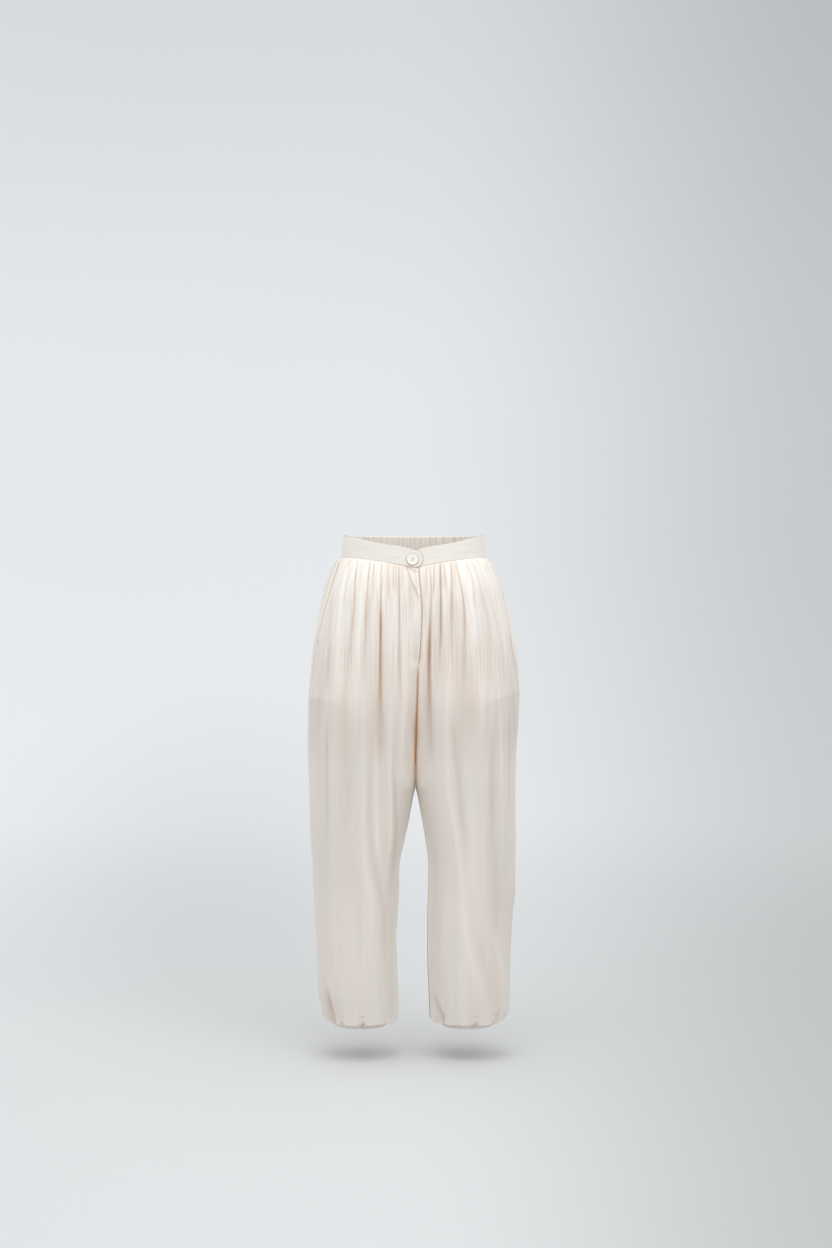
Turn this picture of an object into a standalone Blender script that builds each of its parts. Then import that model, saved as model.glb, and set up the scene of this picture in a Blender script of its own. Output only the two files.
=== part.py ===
# Harem trousers in washed satin, filled out as they are when worn.
# Metres, +Z up, the front towards -Y and the wearer's right leg towards -X.
# The origin is the middle of the waist opening, halfway up the side of the waistband.
#
# Each leg is a stack of ovals, cut off at the plane of the centre seams above the crotch.
# A place on the cloth is a share and a drop: the share runs from 0 at the outermost side
# to 1 at the front centre seam or inseam and to -1 at the back one, and the drop is the
# distance in millimetres below the seam that joins the cloth to the waistband.

import math
from collections import namedtuple

import bmesh
import bpy
import numpy as np
from mathutils import Vector

# Sizes in millimetres. The frame's metres come in where a mesh is made.
MM = 0.001
SEAM_GAP = 0.3
PANEL_SEAM_GAP = 0.4
CENTRE_SEAM_X = 3.0
CLOTH_WALL = 1.4
LINING_WALL = 1.0
BAND_WALL = 2.5

BAND_TOP_SIDE = 20.0
BAND_BOTTOM_SIDE = -23.5
BAND_TOP_DIP = 31.7
BAND_BOTTOM_DIP = 24.5
BAND_TOP_DIP_POWER = 1.5
BAND_BOTTOM_DIP_POWER = 1.8
BAND_TOP_INSET = 6.0
BAND_TOP_DEPTH = 90.0
DIP_FADE_DROP = 150.0
RUCHE_PITCH = 8.0
RUCHE_DEPTH = 1.6

OVAL_POWER = 0.88
OVAL_STEPS = 240
PROBE_SHARE = 0.004
PUFF_AT_WAIST = 3.4
PUFF_RISE_DROP = 12.0
PUFF_FADE_DROP = 260.0
MOST_INWARD = -3.0
SIDE_CALM_SHARE = 0.04
SIDE_CALM_WIDTH = 0.12
FLY_CALM_START = 0.88
FLY_CALM_END = 0.915
FLY_CALM = 0.8
GATHER_START_DROP = 10.0
GATHER_FULL_REACH = 0.35

TAB_OVERLAP = 15.0
TAB_CENTRE = -3.0
TAB_RAMP_START = -62.0
TAB_RAMP_END = -26.0
UNDERLAP_END = -22.0
TAB_ROUND_STEPS = 6
STRAIGHT_COLUMNS = 12
RAMP_COLUMNS = 8
LEFT_BAND_COLUMNS = 18

FLY_LEFT = -20.0
FLY_RIGHT = 8.0
FLY_BULGE = 5.0
FLY_END_DROP = 190.0
FLY_CURVE_DROP = 45.0
FLY_FOOT_WIDTH = 3.0
FLY_STEEP_TOP = 0.6
FLY_STEEP_DROP = 60.0
FLY_COLUMNS = 7
FLY_WALL = 1.2
FLY_LEAST_LIFT = 1.3

POCKET_MOUTH_TOP = 6.0
POCKET_MOUTH_END = 172.0
POCKET_MOUTH_GAPE = 1.2
POCKET_BAG_WALL = 2.0
POCKET_BAG_TOP = 48.0
POCKET_BAG_END = 262.0
POCKET_BAG_SHARE = 0.32
POCKET_BAG_START = 0.02
POCKET_BAG_NARROWING = 0.12
POCKET_BAG_ROWS = 9
POCKET_BAG_COLUMNS = 8
POCKET_BAG_LIFT = -2.9

LAST_SECTION_DROP = 912.8
BALLOON_ROUND = 21.5
PUCKER_DEPTH = 2.4
PUCKER_DOWN_SHARE = 0.6
ANKLE_CENTRE_X = 108.0
ANKLE_HALF_WIDTH = 52.0
ANKLE_HALF_DEPTH = 58.0
ANKLE_EDGE_ROOM = 1.8
CASING_WALL = 2.5
CASING_TOP_DROP = 926.0
CASING_HEIGHT = 18.0
CASING_RUCHES = 22
CASING_RUCHE_DEPTH = 1.0

BUTTON_STEPS = 24
BUTTON_HOLE_RADIUS = 1.1
BUTTON_HOLE_SPACING = 2.3
BUTTON_CROWN_ROOM = 0.25
BUTTON_PLACE = -6.0
BUTTON_HEIGHT_SHARE = 0.47
BUTTON_TILT_SHARE = 0.2
BUTTON_TILT_DISTANCE = 8.0

RIGHT = -1
LEFT = 1

# Ovals of the two legs. Outer and inner are distances from the centre seam's plane to the
# oval's ends; an inner end below 0 lies past the plane, where the oval is cut off.
Section = namedtuple("Section", "drop outer_right outer_left inner_right inner_left depth middle")
SECTIONS = (
    Section(0.0, 149.0, 143.0, -149.0, -143.0, 95.0, 0.0),
    Section(8.0, 160.0, 153.0, -157.0, -150.0, 102.0, 0.5),
    Section(26.0, 170.0, 161.0, -163.0, -155.0, 111.0, 1.0),
    Section(63.0, 184.0, 176.0, -166.0, -159.0, 121.0, 3.0),
    Section(87.0, 190.0, 182.0, -165.0, -158.0, 126.0, 4.0),
    Section(135.0, 200.0, 196.0, -157.0, -154.0, 132.0, 7.0),
    Section(184.0, 208.0, 204.0, -145.0, -142.0, 135.0, 9.0),
    Section(232.0, 212.0, 208.0, -119.0, -117.0, 136.0, 10.0),
    Section(281.0, 216.0, 210.0, -88.0, -86.0, 135.0, 9.0),
    Section(330.0, 217.0, 209.0, -58.0, -55.0, 132.0, 8.0),
    Section(378.0, 218.0, 205.0, -33.0, -30.0, 128.0, 6.0),
    Section(427.0, 217.0, 203.0, -13.0, -12.0, 122.0, 4.0),
    Section(465.5, 215.0, 202.0, 0.0, 0.0, 116.0, 2.0),
    Section(524.0, 214.0, 202.0, 12.0, 12.0, 110.0, 1.0),
    Section(572.0, 212.0, 203.0, 22.0, 20.0, 106.0, 0.0),
    Section(621.0, 208.0, 202.0, 32.0, 26.0, 103.0, 0.0),
    Section(669.0, 206.0, 202.0, 34.0, 26.0, 100.0, 0.0),
    Section(718.0, 204.0, 197.0, 36.0, 24.0, 98.0, 0.0),
    Section(767.0, 200.0, 194.0, 40.0, 24.0, 97.0, 0.0),
    Section(815.0, 198.0, 192.0, 38.0, 24.0, 96.0, 0.0),
    Section(864.0, 198.0, 192.0, 36.0, 26.0, 95.0, 0.0),
    Section(LAST_SECTION_DROP, 190.0, 190.0, 34.0, 28.0, 91.0, 0.0),
)

# The short lining: its room inside the cloth at the side, front and back, and how far its
# legs have parted, from 0 where they share the trunk's oval to 1 at their own crotch.
LiningSection = namedtuple("LiningSection", "drop room depth_room parting")
LINING_SECTIONS = (
    LiningSection(1.5, 4.8, 4.8, 0.033),
    LiningSection(10.0, 7.0, 7.0, 0.05),
    LiningSection(25.0, 8.0, 8.0, 0.06),
    LiningSection(60.0, 8.5, 9.0, 0.12),
    LiningSection(110.0, 8.5, 11.0, 0.30),
    LiningSection(170.0, 8.5, 17.0, 0.55),
    LiningSection(220.0, 8.5, 24.0, 0.80),
    LiningSection(252.0, 8.5, 28.0, 0.95),
    LiningSection(264.0, 8.5, 29.0, 1.0),
    LiningSection(292.0, 8.5, 30.0, 1.06),
)

# Where the side seam runs, as a share of the front, and where the pocket mouth lies in it.
SeamPlace = namedtuple("SeamPlace", "drop share")
SIDE_SEAM = (
    SeamPlace(0.0, 0.255),
    SeamPlace(60.0, 0.215),
    SeamPlace(172.0, 0.165),
    SeamPlace(300.0, 0.09),
    SeamPlace(460.0, 0.0),
    SeamPlace(940.0, 0.0),
)

# How the leg turns under: the way in to the ankle ring, and how far it has rounded down.
Turn = namedtuple("Turn", "tuck down")
BALLOON = (Turn(0.10, 0.44), Turn(0.30, 0.80), Turn(0.58, 0.99), Turn(0.80, 1.0), Turn(1.0, 0.86))

# Valleys between the folds: share at the start and at the end, depth and width in
# millimetres, and the drops between which the valley runs.
Fold = namedtuple("Fold", "share end_share depth width start stop")
FRONT_RIGHT_FOLDS = (
    Fold(0.330, 0.310, 1.6, 6.0, 0.0, 90.0),
    Fold(0.397, 0.380, 1.6, 6.0, 0.0, 80.0),
    Fold(0.463, 0.600, 3.8, 6.5, 0.0, 230.0),
    Fold(0.520, 0.540, 1.4, 5.0, 0.0, 60.0),
    Fold(0.582, 0.680, 4.1, 6.0, 0.0, 215.0),
    Fold(0.630, 0.700, 2.2, 5.0, 0.0, 90.0),
    Fold(0.704, 0.800, 7.6, 7.0, 0.0, 350.0),
    Fold(0.763, 0.790, 2.2, 4.5, 0.0, 80.0),
    Fold(0.809, 0.830, 1.9, 4.5, 0.0, 60.0),
    Fold(0.852, 0.900, 4.1, 5.0, 0.0, 230.0),
    Fold(0.895, 0.920, 2.0, 4.0, 0.0, 60.0),
    Fold(0.550, 0.660, 2.5, 9.0, 440.0, 690.0),
    Fold(0.640, 0.710, 2.5, 8.0, 480.0, 640.0),
)
FRONT_LEFT_FOLDS = (
    Fold(0.306, 0.330, 1.4, 6.0, 0.0, 80.0),
    Fold(0.368, 0.400, 1.4, 6.0, 0.0, 90.0),
    Fold(0.441, 0.450, 1.6, 6.0, 0.0, 90.0),
    Fold(0.504, 0.500, 2.2, 5.0, 0.0, 90.0),
    Fold(0.556, 0.640, 3.5, 6.0, 0.0, 220.0),
    Fold(0.605, 0.620, 1.6, 4.5, 0.0, 60.0),
    Fold(0.652, 0.700, 3.4, 5.0, 0.0, 150.0),
    Fold(0.709, 0.730, 2.2, 4.5, 0.0, 70.0),
    Fold(0.758, 0.820, 4.6, 5.5, 0.0, 190.0),
    Fold(0.811, 0.840, 2.0, 4.0, 0.0, 60.0),
    Fold(0.850, 0.920, 7.6, 6.5, 0.0, 330.0),
    Fold(0.915, 0.930, 1.9, 4.0, 0.0, 60.0),
    Fold(0.585, 0.475, 2.5, 9.0, 440.0, 720.0),
    Fold(0.700, 0.560, 2.2, 9.0, 520.0, 860.0),
)
# The elastic draws the back into more even gathers between two shares.
BackGathers = namedtuple("BackGathers", "first last count width least_depth most_depth reach wander")
BACK_GATHERS = BackGathers(-0.06, -0.965, 13, 5.0, 2.4, 5.6, 150.0, 0.012)
BACK_PHASE_RIGHT = 0.6
BACK_PHASE_LEFT = 1.9
BACK_LEG_FOLDS = (
    Fold(-0.900, -0.800, 3.0, 11.0, 150.0, 520.0),
    Fold(-0.520, -0.640, 2.4, 10.0, 430.0, 760.0),
)

# The button's outline, from the middle of its back over the rim to its hollowed middle.
ProfilePoint = namedtuple("ProfilePoint", "radius height")
BUTTON_PROFILE = (
    ProfilePoint(0.0, -1.8),
    ProfilePoint(9.9, -1.8),
    ProfilePoint(11.1, -1.1),
    ProfilePoint(11.5, 0.2),
    ProfilePoint(11.0, 1.5),
    ProfilePoint(10.4, 1.8),
    ProfilePoint(9.3, 1.5),
    ProfilePoint(8.5, 0.7),
    ProfilePoint(0.0, 0.7),
)

CLOTH_DROPS = (
    0.3, 8.0, 24.0, 52.0, 90.0, 130.0, 172.0, 215.0, 260.0, 305.0, 350.0,
    395.0, 435.0, 465.5, 495.0, 540.0, 600.0, 670.0, 760.0, 850.0, LAST_SECTION_DROP,
)
LINING_COLUMNS = 27
LINING_DROPS = (1.5, 10.0, 30.0, 70.0, 120.0, 175.0, 225.0, 258.0, 270.0, 292.0)


def along(rows, place, column):
    """Read a column of a table at any place between its rows, smoothly and with no overshoot."""
    x = np.array([row[0] for row in rows])
    y = np.array([getattr(row, column) for row in rows])
    step = np.diff(x)
    slope = np.diff(y) / step
    tangent = np.zeros(len(x))
    tangent[0] = slope[0]
    tangent[-1] = slope[-1]
    for i in range(1, len(x) - 1):
        if slope[i - 1] * slope[i] > 0:
            before = 2 * step[i] + step[i - 1]
            after = step[i] + 2 * step[i - 1]
            tangent[i] = (before + after) / (before / slope[i - 1] + after / slope[i])
    place = min(max(place, x[0]), x[-1])
    i = min(int(np.searchsorted(x, place, side="right")) - 1, len(step) - 1)
    t = (place - x[i]) / step[i]
    return (
        (1 + 2 * t) * (1 - t) ** 2 * y[i]
        + t * (1 - t) ** 2 * step[i] * tangent[i]
        + t * t * (3 - 2 * t) * y[i + 1]
        + t * t * (t - 1) * step[i] * tangent[i + 1]
    )


def smooth(value, start, end):
    """Ease from 0 at start to 1 at end."""
    t = np.clip((value - start) / (end - start), 0.0, 1.0)
    return t * t * (3 - 2 * t)


class Oval:
    """One leg's oval at one height, cut off at the centre plane where it runs past it."""

    def __init__(self, side, outer, inner, depth, middle):
        self.side = side
        centre = (outer + inner) / 2
        half = (outer - inner) / 2
        last = math.pi
        if inner < 0:
            past_plane = max(centre - SEAM_GAP / 2, 0.0) / half
            last = math.acos(-(past_plane ** (1 / OVAL_POWER)))
        angle = np.linspace(0.0, last, OVAL_STEPS)
        c = np.cos(angle)
        self.x = centre + half * np.sign(c) * np.abs(c) ** OVAL_POWER
        self.y = depth * np.sin(angle) ** OVAL_POWER
        length = np.concatenate([[0.0], np.cumsum(np.hypot(np.diff(self.x), np.diff(self.y)))])
        self.length = length[-1]
        self.share = length / length[-1]
        self.middle = middle

    def places(self, shares, lifts):
        """Points at these shares, each moved out of the cloth by its lift."""
        limit = 1 - SEAM_GAP / 2 / self.length
        shares = np.clip(shares, -limit, limit)
        size = np.abs(shares)
        low = np.clip(size - PROBE_SHARE, 0.0, 1.0)
        high = np.clip(size + PROBE_SHARE, 0.0, 1.0)
        along_x = np.interp(high, self.share, self.x) - np.interp(low, self.share, self.x)
        along_y = np.interp(high, self.share, self.y) - np.interp(low, self.share, self.y)
        run = np.hypot(along_x, along_y)
        x = np.interp(size, self.share, self.x) + lifts * along_y / run
        y = np.interp(size, self.share, self.y) - lifts * along_x / run
        y = np.maximum(y, SEAM_GAP / 2)
        x = np.maximum(x, SEAM_GAP / 2)
        front = np.where(shares > 0, -1.0, 1.0)
        return CENTRE_SEAM_X + self.side * x, self.middle + front * y


def leg_oval(side, drop):
    """The cloth's oval for one leg at this drop."""
    name = "right" if side == RIGHT else "left"
    return Oval(
        side,
        along(SECTIONS, drop, "outer_" + name),
        along(SECTIONS, drop, "inner_" + name),
        along(SECTIONS, drop, "depth"),
        along(SECTIONS, drop, "middle"),
    )


def waist_dip(shares):
    """How far the waist seam lies below its height at the side."""
    return BAND_BOTTOM_DIP * np.clip(shares, 0.0, 1.0) ** BAND_BOTTOM_DIP_POWER


def heights(shares, drop):
    """Heights of the places of one drop: rows follow the dipped seam, then level out."""
    fade = 1 - smooth(drop, 0.0, DIP_FADE_DROP)
    return BAND_BOTTOM_SIDE - drop - waist_dip(shares) * fade


def back_folds(phase):
    """One back's gathers, uneven as elastic leaves them, and its leg folds."""
    made = []
    g = BACK_GATHERS
    for i in range(g.count):
        even = g.first + (g.last - g.first) * (i + 0.5) / g.count
        share = even + g.wander * math.sin(2.4 * i + phase)
        depth = g.least_depth + (g.most_depth - g.least_depth) * math.sin(1.9 * i + phase) ** 2
        reach = g.reach * (1.0 + 0.5 * math.sin(3.9 * i + phase))
        made.append(Fold(share, share, depth, g.width, 0.0, reach))
    return tuple(made) + BACK_LEG_FOLDS


FOLDS = {
    (RIGHT, "front"): FRONT_RIGHT_FOLDS,
    (LEFT, "front"): FRONT_LEFT_FOLDS,
    (RIGHT, "back"): back_folds(BACK_PHASE_RIGHT),
    (LEFT, "back"): back_folds(BACK_PHASE_LEFT),
}


def fold_share(fold, drop):
    """Where a fold lies at this drop."""
    t = min(max((drop - fold.start) / (fold.stop - fold.start), 0.0), 1.0)
    return fold.share + (fold.end_share - fold.share) * t


def fold_strength(fold, drop):
    """A fold's depth as a share of its most: full near its start, and fading to its stop."""
    if fold.start == 0.0:
        begun = smooth(drop, SEAM_GAP, GATHER_START_DROP)
        return begun * (1 - smooth(drop, GATHER_FULL_REACH * fold.stop, fold.stop))
    half = (fold.stop - fold.start) / 2
    return smooth(drop, fold.start, fold.start + half) * (1 - smooth(drop, fold.start + half, fold.stop))


def relief(side, face, oval, shares, drop):
    """How far the cloth stands off its oval: puffed below the waist, with the folds in it."""
    lift = np.full(len(shares), PUFF_AT_WAIST)
    lift *= smooth(drop, 0.0, PUFF_RISE_DROP) * (1 - smooth(drop, PUFF_RISE_DROP, PUFF_FADE_DROP))
    lift *= 1 - FLY_CALM * smooth(shares, FLY_CALM_START, FLY_CALM_END)
    lift *= smooth(np.abs(shares - SIDE_CALM_SHARE), 0.0, SIDE_CALM_WIDTH)
    for fold in FOLDS[side, face]:
        away = (shares - fold_share(fold, drop)) * oval.length / fold.width
        lift -= fold.depth * fold_strength(fold, drop) * np.exp(-away * away)
    return np.maximum(lift, MOST_INWARD)


def column_shares(side, face, drop):
    """Shares of a panel's columns at this drop: one on each gather's valley and one between."""
    seam = along(SIDE_SEAM, drop, "share")
    gathers = [fold for fold in FOLDS[side, face] if fold.start == 0.0]
    valleys = sorted(fold_share(fold, drop) for fold in gathers)
    knots = [seam] + valleys + [1.0] if face == "front" else [-1.0] + valleys + [seam]
    last = len(knots) - 1
    return np.interp(np.linspace(0.0, last, 2 * last + 1), range(len(knots)), knots)


def new_material(name, colour, roughness, metallic=0.0, sheen=0.0):
    material = bpy.data.materials.new(name)
    material.use_nodes = True
    shader = material.node_tree.nodes["Principled BSDF"]
    shader.inputs["Base Color"].default_value = (*colour, 1.0)
    shader.inputs["Roughness"].default_value = roughness
    shader.inputs["Metallic"].default_value = metallic
    shader.inputs["Sheen Weight"].default_value = sheen
    return material


def add_object(name, points, faces, material):
    """A mesh object from points in millimetres."""
    mesh = bpy.data.meshes.new(name)
    mesh.from_pydata([Vector(p) * MM for p in points], [], faces)
    mesh.shade_smooth()
    mesh.materials.append(material)
    obj = bpy.data.objects.new(name, mesh)
    bpy.context.scene.collection.objects.link(obj)
    return obj


def grid_faces(rows, columns, turned, closed=False):
    """Faces of a grid of points. A closed grid joins its last column to its first."""
    faces = []
    for r in range(rows - 1):
        for c in range(columns if closed else columns - 1):
            following = (c + 1) % columns
            face = (
                r * columns + c,
                r * columns + following,
                (r + 1) * columns + following,
                (r + 1) * columns + c,
            )
            faces.append(face[::-1] if turned else face)
    return faces


def add_cloth(name, rows, wall, material, turned, closed=False):
    """Cloth from rows of outer points, thickened inwards to its wall."""
    columns = len(rows[0])
    points = [point for row in rows for point in row]
    obj = add_object(name, points, grid_faces(len(rows), columns, turned, closed), material)
    solid = obj.modifiers.new("Wall", "SOLIDIFY")
    solid.thickness = wall * MM
    solid.offset = -1.0
    return obj


def stacked(x, y, z):
    return list(zip(x.tolist(), y.tolist(), np.broadcast_to(z, x.shape).tolist()))


def ankle_ring(side, shares, inset):
    """Points on the ring of the ankle, inset from the edge that the balloon is gathered to."""
    angle = shares * math.pi
    x = ANKLE_CENTRE_X + (ANKLE_HALF_WIDTH - inset) * np.cos(angle)
    y = -(ANKLE_HALF_DEPTH - inset) * np.sin(angle)
    return side * x, y


def panel_rows(side, face):
    """Rows of a leg panel: down the leg, round the balloon and in to the ankle ring."""
    rows = []
    for drop in CLOTH_DROPS:
        oval = leg_oval(side, drop)
        shares = column_shares(side, face, drop)
        lifts = relief(side, face, oval, shares, drop)
        gap = PANEL_SEAM_GAP / 2 / oval.length
        edge = 0 if face == "front" else -1
        shares[edge] += gap if face == "front" else -gap
        if face == "front" and POCKET_MOUTH_TOP < drop < POCKET_MOUTH_END:
            shares[edge] += POCKET_MOUTH_GAPE / oval.length
            lifts[edge] += POCKET_MOUTH_GAPE
        x, y = oval.places(shares, lifts)
        rows.append(stacked(x, y, heights(shares, drop)))
    leg_x, leg_y = x, y
    ring_gap = SEAM_GAP / (math.pi * ANKLE_HALF_DEPTH)
    ring_shares = np.clip(shares, -1 + ring_gap, 1 - ring_gap)
    ring_shares[edge] += ring_gap if face == "front" else -ring_gap
    ring_x, ring_y = ankle_ring(side, ring_shares, -ANKLE_EDGE_ROOM)
    pucker = np.where(np.arange(len(shares)) % 2 == 0, 0.5, -0.5) * PUCKER_DEPTH
    pucker[0] = pucker[-1] = 0.0
    base = BAND_BOTTOM_SIDE - LAST_SECTION_DROP
    for turn in BALLOON:
        swell = math.sin(math.pi * turn.tuck) * pucker
        outward = swell * (1 - turn.tuck) / np.hypot(leg_x - ring_x, leg_y - ring_y)
        x = leg_x + (ring_x - leg_x) * turn.tuck + (leg_x - ring_x) * outward
        y = leg_y + (ring_y - leg_y) * turn.tuck + (leg_y - ring_y) * outward
        rows.append(stacked(x, y, base - BALLOON_ROUND * turn.down - PUCKER_DOWN_SHARE * swell))
    return rows


def make_panels(satin):
    for side, side_name in ((RIGHT, "right"), (LEFT, "left")):
        for face in ("front", "back"):
            rows = panel_rows(side, face)
            add_cloth(f"{face}_{side_name}", rows, CLOTH_WALL, satin, turned=(side == RIGHT))


def band_oval(side, t):
    """The waistband's oval at t of the way up."""
    outer = along(SECTIONS, 0.0, "outer_right" if side == RIGHT else "outer_left")
    outer -= BAND_TOP_INSET * t
    depth = SECTIONS[0].depth + (BAND_TOP_DEPTH - SECTIONS[0].depth) * t
    return Oval(side, outer, -outer, depth, 0.0)


def band_height(shares, t):
    """Height on the waistband, with both edges dipping towards the front."""
    front = np.clip(shares, 0.0, 1.0)
    top = BAND_TOP_SIDE - BAND_TOP_DIP * front**BAND_TOP_DIP_POWER
    bottom = BAND_BOTTOM_SIDE - BAND_BOTTOM_DIP * front**BAND_BOTTOM_DIP_POWER
    return bottom + (top - bottom) * t


def band_point(distance, t, lift):
    """A point of the front band, at a distance from the centre seam, to the left if above 0."""
    side = LEFT if distance > 0 else RIGHT
    share = np.array([1 - abs(distance) / band_oval(side, 0.0).length])
    x, y = band_oval(side, t).places(share, np.array([float(lift)]))
    return float(x[0]), float(y[0]), float(band_height(share, t)[0])


def side_distance(side):
    """Length of the front band from the centre seam to the side."""
    return band_oval(side, 0.0).length - SEAM_GAP / 2


def tab_shares(distance):
    """The lowest and highest t of the tab's round end at this distance."""
    centre = band_point(TAB_CENTRE, 0.5, 0.0)[2]
    bottom = band_point(distance, 0.0, 0.0)[2]
    top = band_point(distance, 1.0, 0.0)[2]
    radius = (band_point(TAB_CENTRE, 1.0, 0.0)[2] - band_point(TAB_CENTRE, 0.0, 0.0)[2]) / 2
    past = max(distance - TAB_CENTRE, 0.0)
    half = math.sqrt(max(radius * radius - past * past, 1.0))
    if past == 0.0:
        return 0.0, 1.0
    return (centre - half - bottom) / (top - bottom), (centre + half - bottom) / (top - bottom)


def make_front_bands(satin):
    """The right band, which ramps up over the left one and ends in a round tab, and the left."""
    overlap = BAND_WALL + SEAM_GAP
    turns = [math.pi / 2 * step / TAB_ROUND_STEPS for step in range(1, TAB_ROUND_STEPS + 1)]
    round_end = [TAB_CENTRE + (TAB_OVERLAP - TAB_CENTRE) * math.sin(turn) for turn in turns]
    straight = list(np.linspace(-side_distance(RIGHT), TAB_RAMP_START, STRAIGHT_COLUMNS))
    ramp = list(np.linspace(TAB_RAMP_START, TAB_CENTRE, RAMP_COLUMNS))[1:]
    rows = []
    for level in (0.0, 0.33, 0.67, 1.0):
        row = []
        for distance in straight + ramp + round_end:
            lift = overlap * float(smooth(distance, TAB_RAMP_START, TAB_RAMP_END))
            low, high = tab_shares(distance)
            row.append(band_point(distance, low + (high - low) * level, lift))
        rows.append(row)
    add_cloth("waistband_front_right", rows, BAND_WALL, satin, turned=False)

    rows = []
    underlap = list(np.linspace(UNDERLAP_END, 0.0, 3, endpoint=False))
    distances = underlap + list(np.linspace(2.0, side_distance(LEFT), LEFT_BAND_COLUMNS))
    for level in (0.0, 0.5, 1.0):
        rows.append([band_point(distance, level, 0.0) for distance in distances])
    add_cloth("waistband_front_left", rows, BAND_WALL, satin, turned=False)


def make_back_band(satin):
    """The elasticated back, ruched in small waves from side to side."""
    rows = []
    for level in (0.0, 0.5, 1.0):
        row = []
        for side, order in ((LEFT, 1), (RIGHT, -1)):
            oval = band_oval(side, level)
            waves = round(band_oval(side, 0.0).length / RUCHE_PITCH)
            index = np.arange(2 * waves + 1)[::order]
            shares = -index / (2 * waves)
            uneven = RUCHE_DEPTH * (0.7 + 0.3 * np.sin(1.3 * index))
            lifts = np.where((index % 2 == 1) & (index > 1), -uneven, 0.0)
            shares = np.where(index == 0, -SEAM_GAP / 2 / oval.length, shares)
            x, y = oval.places(shares, lifts)
            points = stacked(x, y, band_height(shares, level))
            row += points if side == LEFT else points[1:]
        rows.append(row)
    add_cloth("waistband_back", rows, BAND_WALL, satin, turned=False)


def make_fly(satin):
    """The fly's folded front, lying on both panels, straight at its edge and rounded at its foot."""
    rows = []
    curve_start = FLY_END_DROP - FLY_CURVE_DROP
    straight_drops = [drop for drop in CLOTH_DROPS if drop < curve_start]
    for drop in straight_drops + list(np.linspace(curve_start, FLY_END_DROP, 5)):
        right_edge = FLY_RIGHT + FLY_BULGE * math.sin(math.pi * drop / FLY_END_DROP)
        foot = max(drop - curve_start, 0.0) / FLY_CURVE_DROP
        curve = 1 - math.sqrt(max(1 - foot * foot, 0.0))
        left_edge = FLY_LEFT + (FLY_RIGHT - FLY_FOOT_WIDTH - FLY_LEFT) * curve
        steepness = 1 + FLY_STEEP_TOP * (1 - float(smooth(drop, 0.0, FLY_STEEP_DROP)))
        lift = (SEAM_GAP + FLY_WALL) * steepness
        row = []
        for distance in np.linspace(left_edge, right_edge, FLY_COLUMNS) - CENTRE_SEAM_X:
            side = LEFT if distance > 0 else RIGHT
            oval = leg_oval(side, drop)
            share = np.array([1 - abs(distance) / oval.length])
            own = relief(side, "front", oval, share, drop)
            x, y = oval.places(share, np.maximum(own, FLY_LEAST_LIFT) + lift)
            row.append((float(x[0]), float(y[0]), float(heights(share, drop)[0])))
        rows.append(row)
    add_cloth("fly_front", rows, FLY_WALL, satin, turned=True)


def make_pockets(satin):
    """Flat bags behind the pocket mouths, rounded at the bottom."""
    for side, side_name in ((RIGHT, "right"), (LEFT, "left")):
        rows = []
        for drop in np.linspace(POCKET_BAG_TOP, POCKET_BAG_END, POCKET_BAG_ROWS):
            oval = leg_oval(side, drop)
            seam = along(SIDE_SEAM, drop, "share")
            t = (drop - POCKET_BAG_TOP) / (POCKET_BAG_END - POCKET_BAG_TOP)
            narrow = POCKET_BAG_NARROWING * smooth(t, 0.65, 1.0)
            first = seam + POCKET_BAG_START + narrow
            shares = np.linspace(first, seam + POCKET_BAG_SHARE - narrow, POCKET_BAG_COLUMNS)
            x, y = oval.places(shares, np.full(POCKET_BAG_COLUMNS, POCKET_BAG_LIFT))
            rows.append(stacked(x, y, heights(shares, drop)))
        add_cloth(f"pocket_{side_name}", rows, POCKET_BAG_WALL, satin, turned=(side == RIGHT))


def make_lining(lining):
    """Short lining legs inside the cloth, from the waist seam to well above the knee."""
    shares = np.linspace(1.0, -1.0, LINING_COLUMNS)
    for side, side_name in ((RIGHT, "right"), (LEFT, "left")):
        rows = []
        for drop in LINING_DROPS:
            outer = along(SECTIONS, drop, "outer_" + side_name) - along(LINING_SECTIONS, drop, "room")
            inner = along(SECTIONS, drop, "inner_" + side_name)
            inner *= 1 - along(LINING_SECTIONS, drop, "parting")
            depth = along(SECTIONS, drop, "depth") - along(LINING_SECTIONS, drop, "depth_room")
            oval = Oval(side, outer, inner, depth, along(SECTIONS, drop, "middle"))
            x, y = oval.places(shares, np.zeros(len(shares)))
            rows.append(stacked(x, y, heights(shares, drop)))
        add_cloth(f"lining_{side_name}", rows, LINING_WALL, lining, turned=(side == LEFT))


def make_casings(satin):
    """The hem's elastic casings, ruched, inside the ring that the legs are gathered to."""
    count = 2 * CASING_RUCHES
    for side, side_name in ((RIGHT, "right"), (LEFT, "left")):
        rows = []
        for level in (0.0, 0.5, 1.0):
            shares = -1 + 2 * np.arange(count) / count
            wave = np.where(np.arange(count) % 2 == 0, 0.0, CASING_RUCHE_DEPTH)
            x, y = ankle_ring(side, shares, SEAM_GAP + wave)
            z = BAND_BOTTOM_SIDE - CASING_TOP_DROP - CASING_HEIGHT * level
            rows.append(stacked(x, y, z))
        name = f"hem_casing_{side_name}"
        add_cloth(name, rows, CASING_WALL, satin, turned=(side == RIGHT), closed=True)


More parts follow.
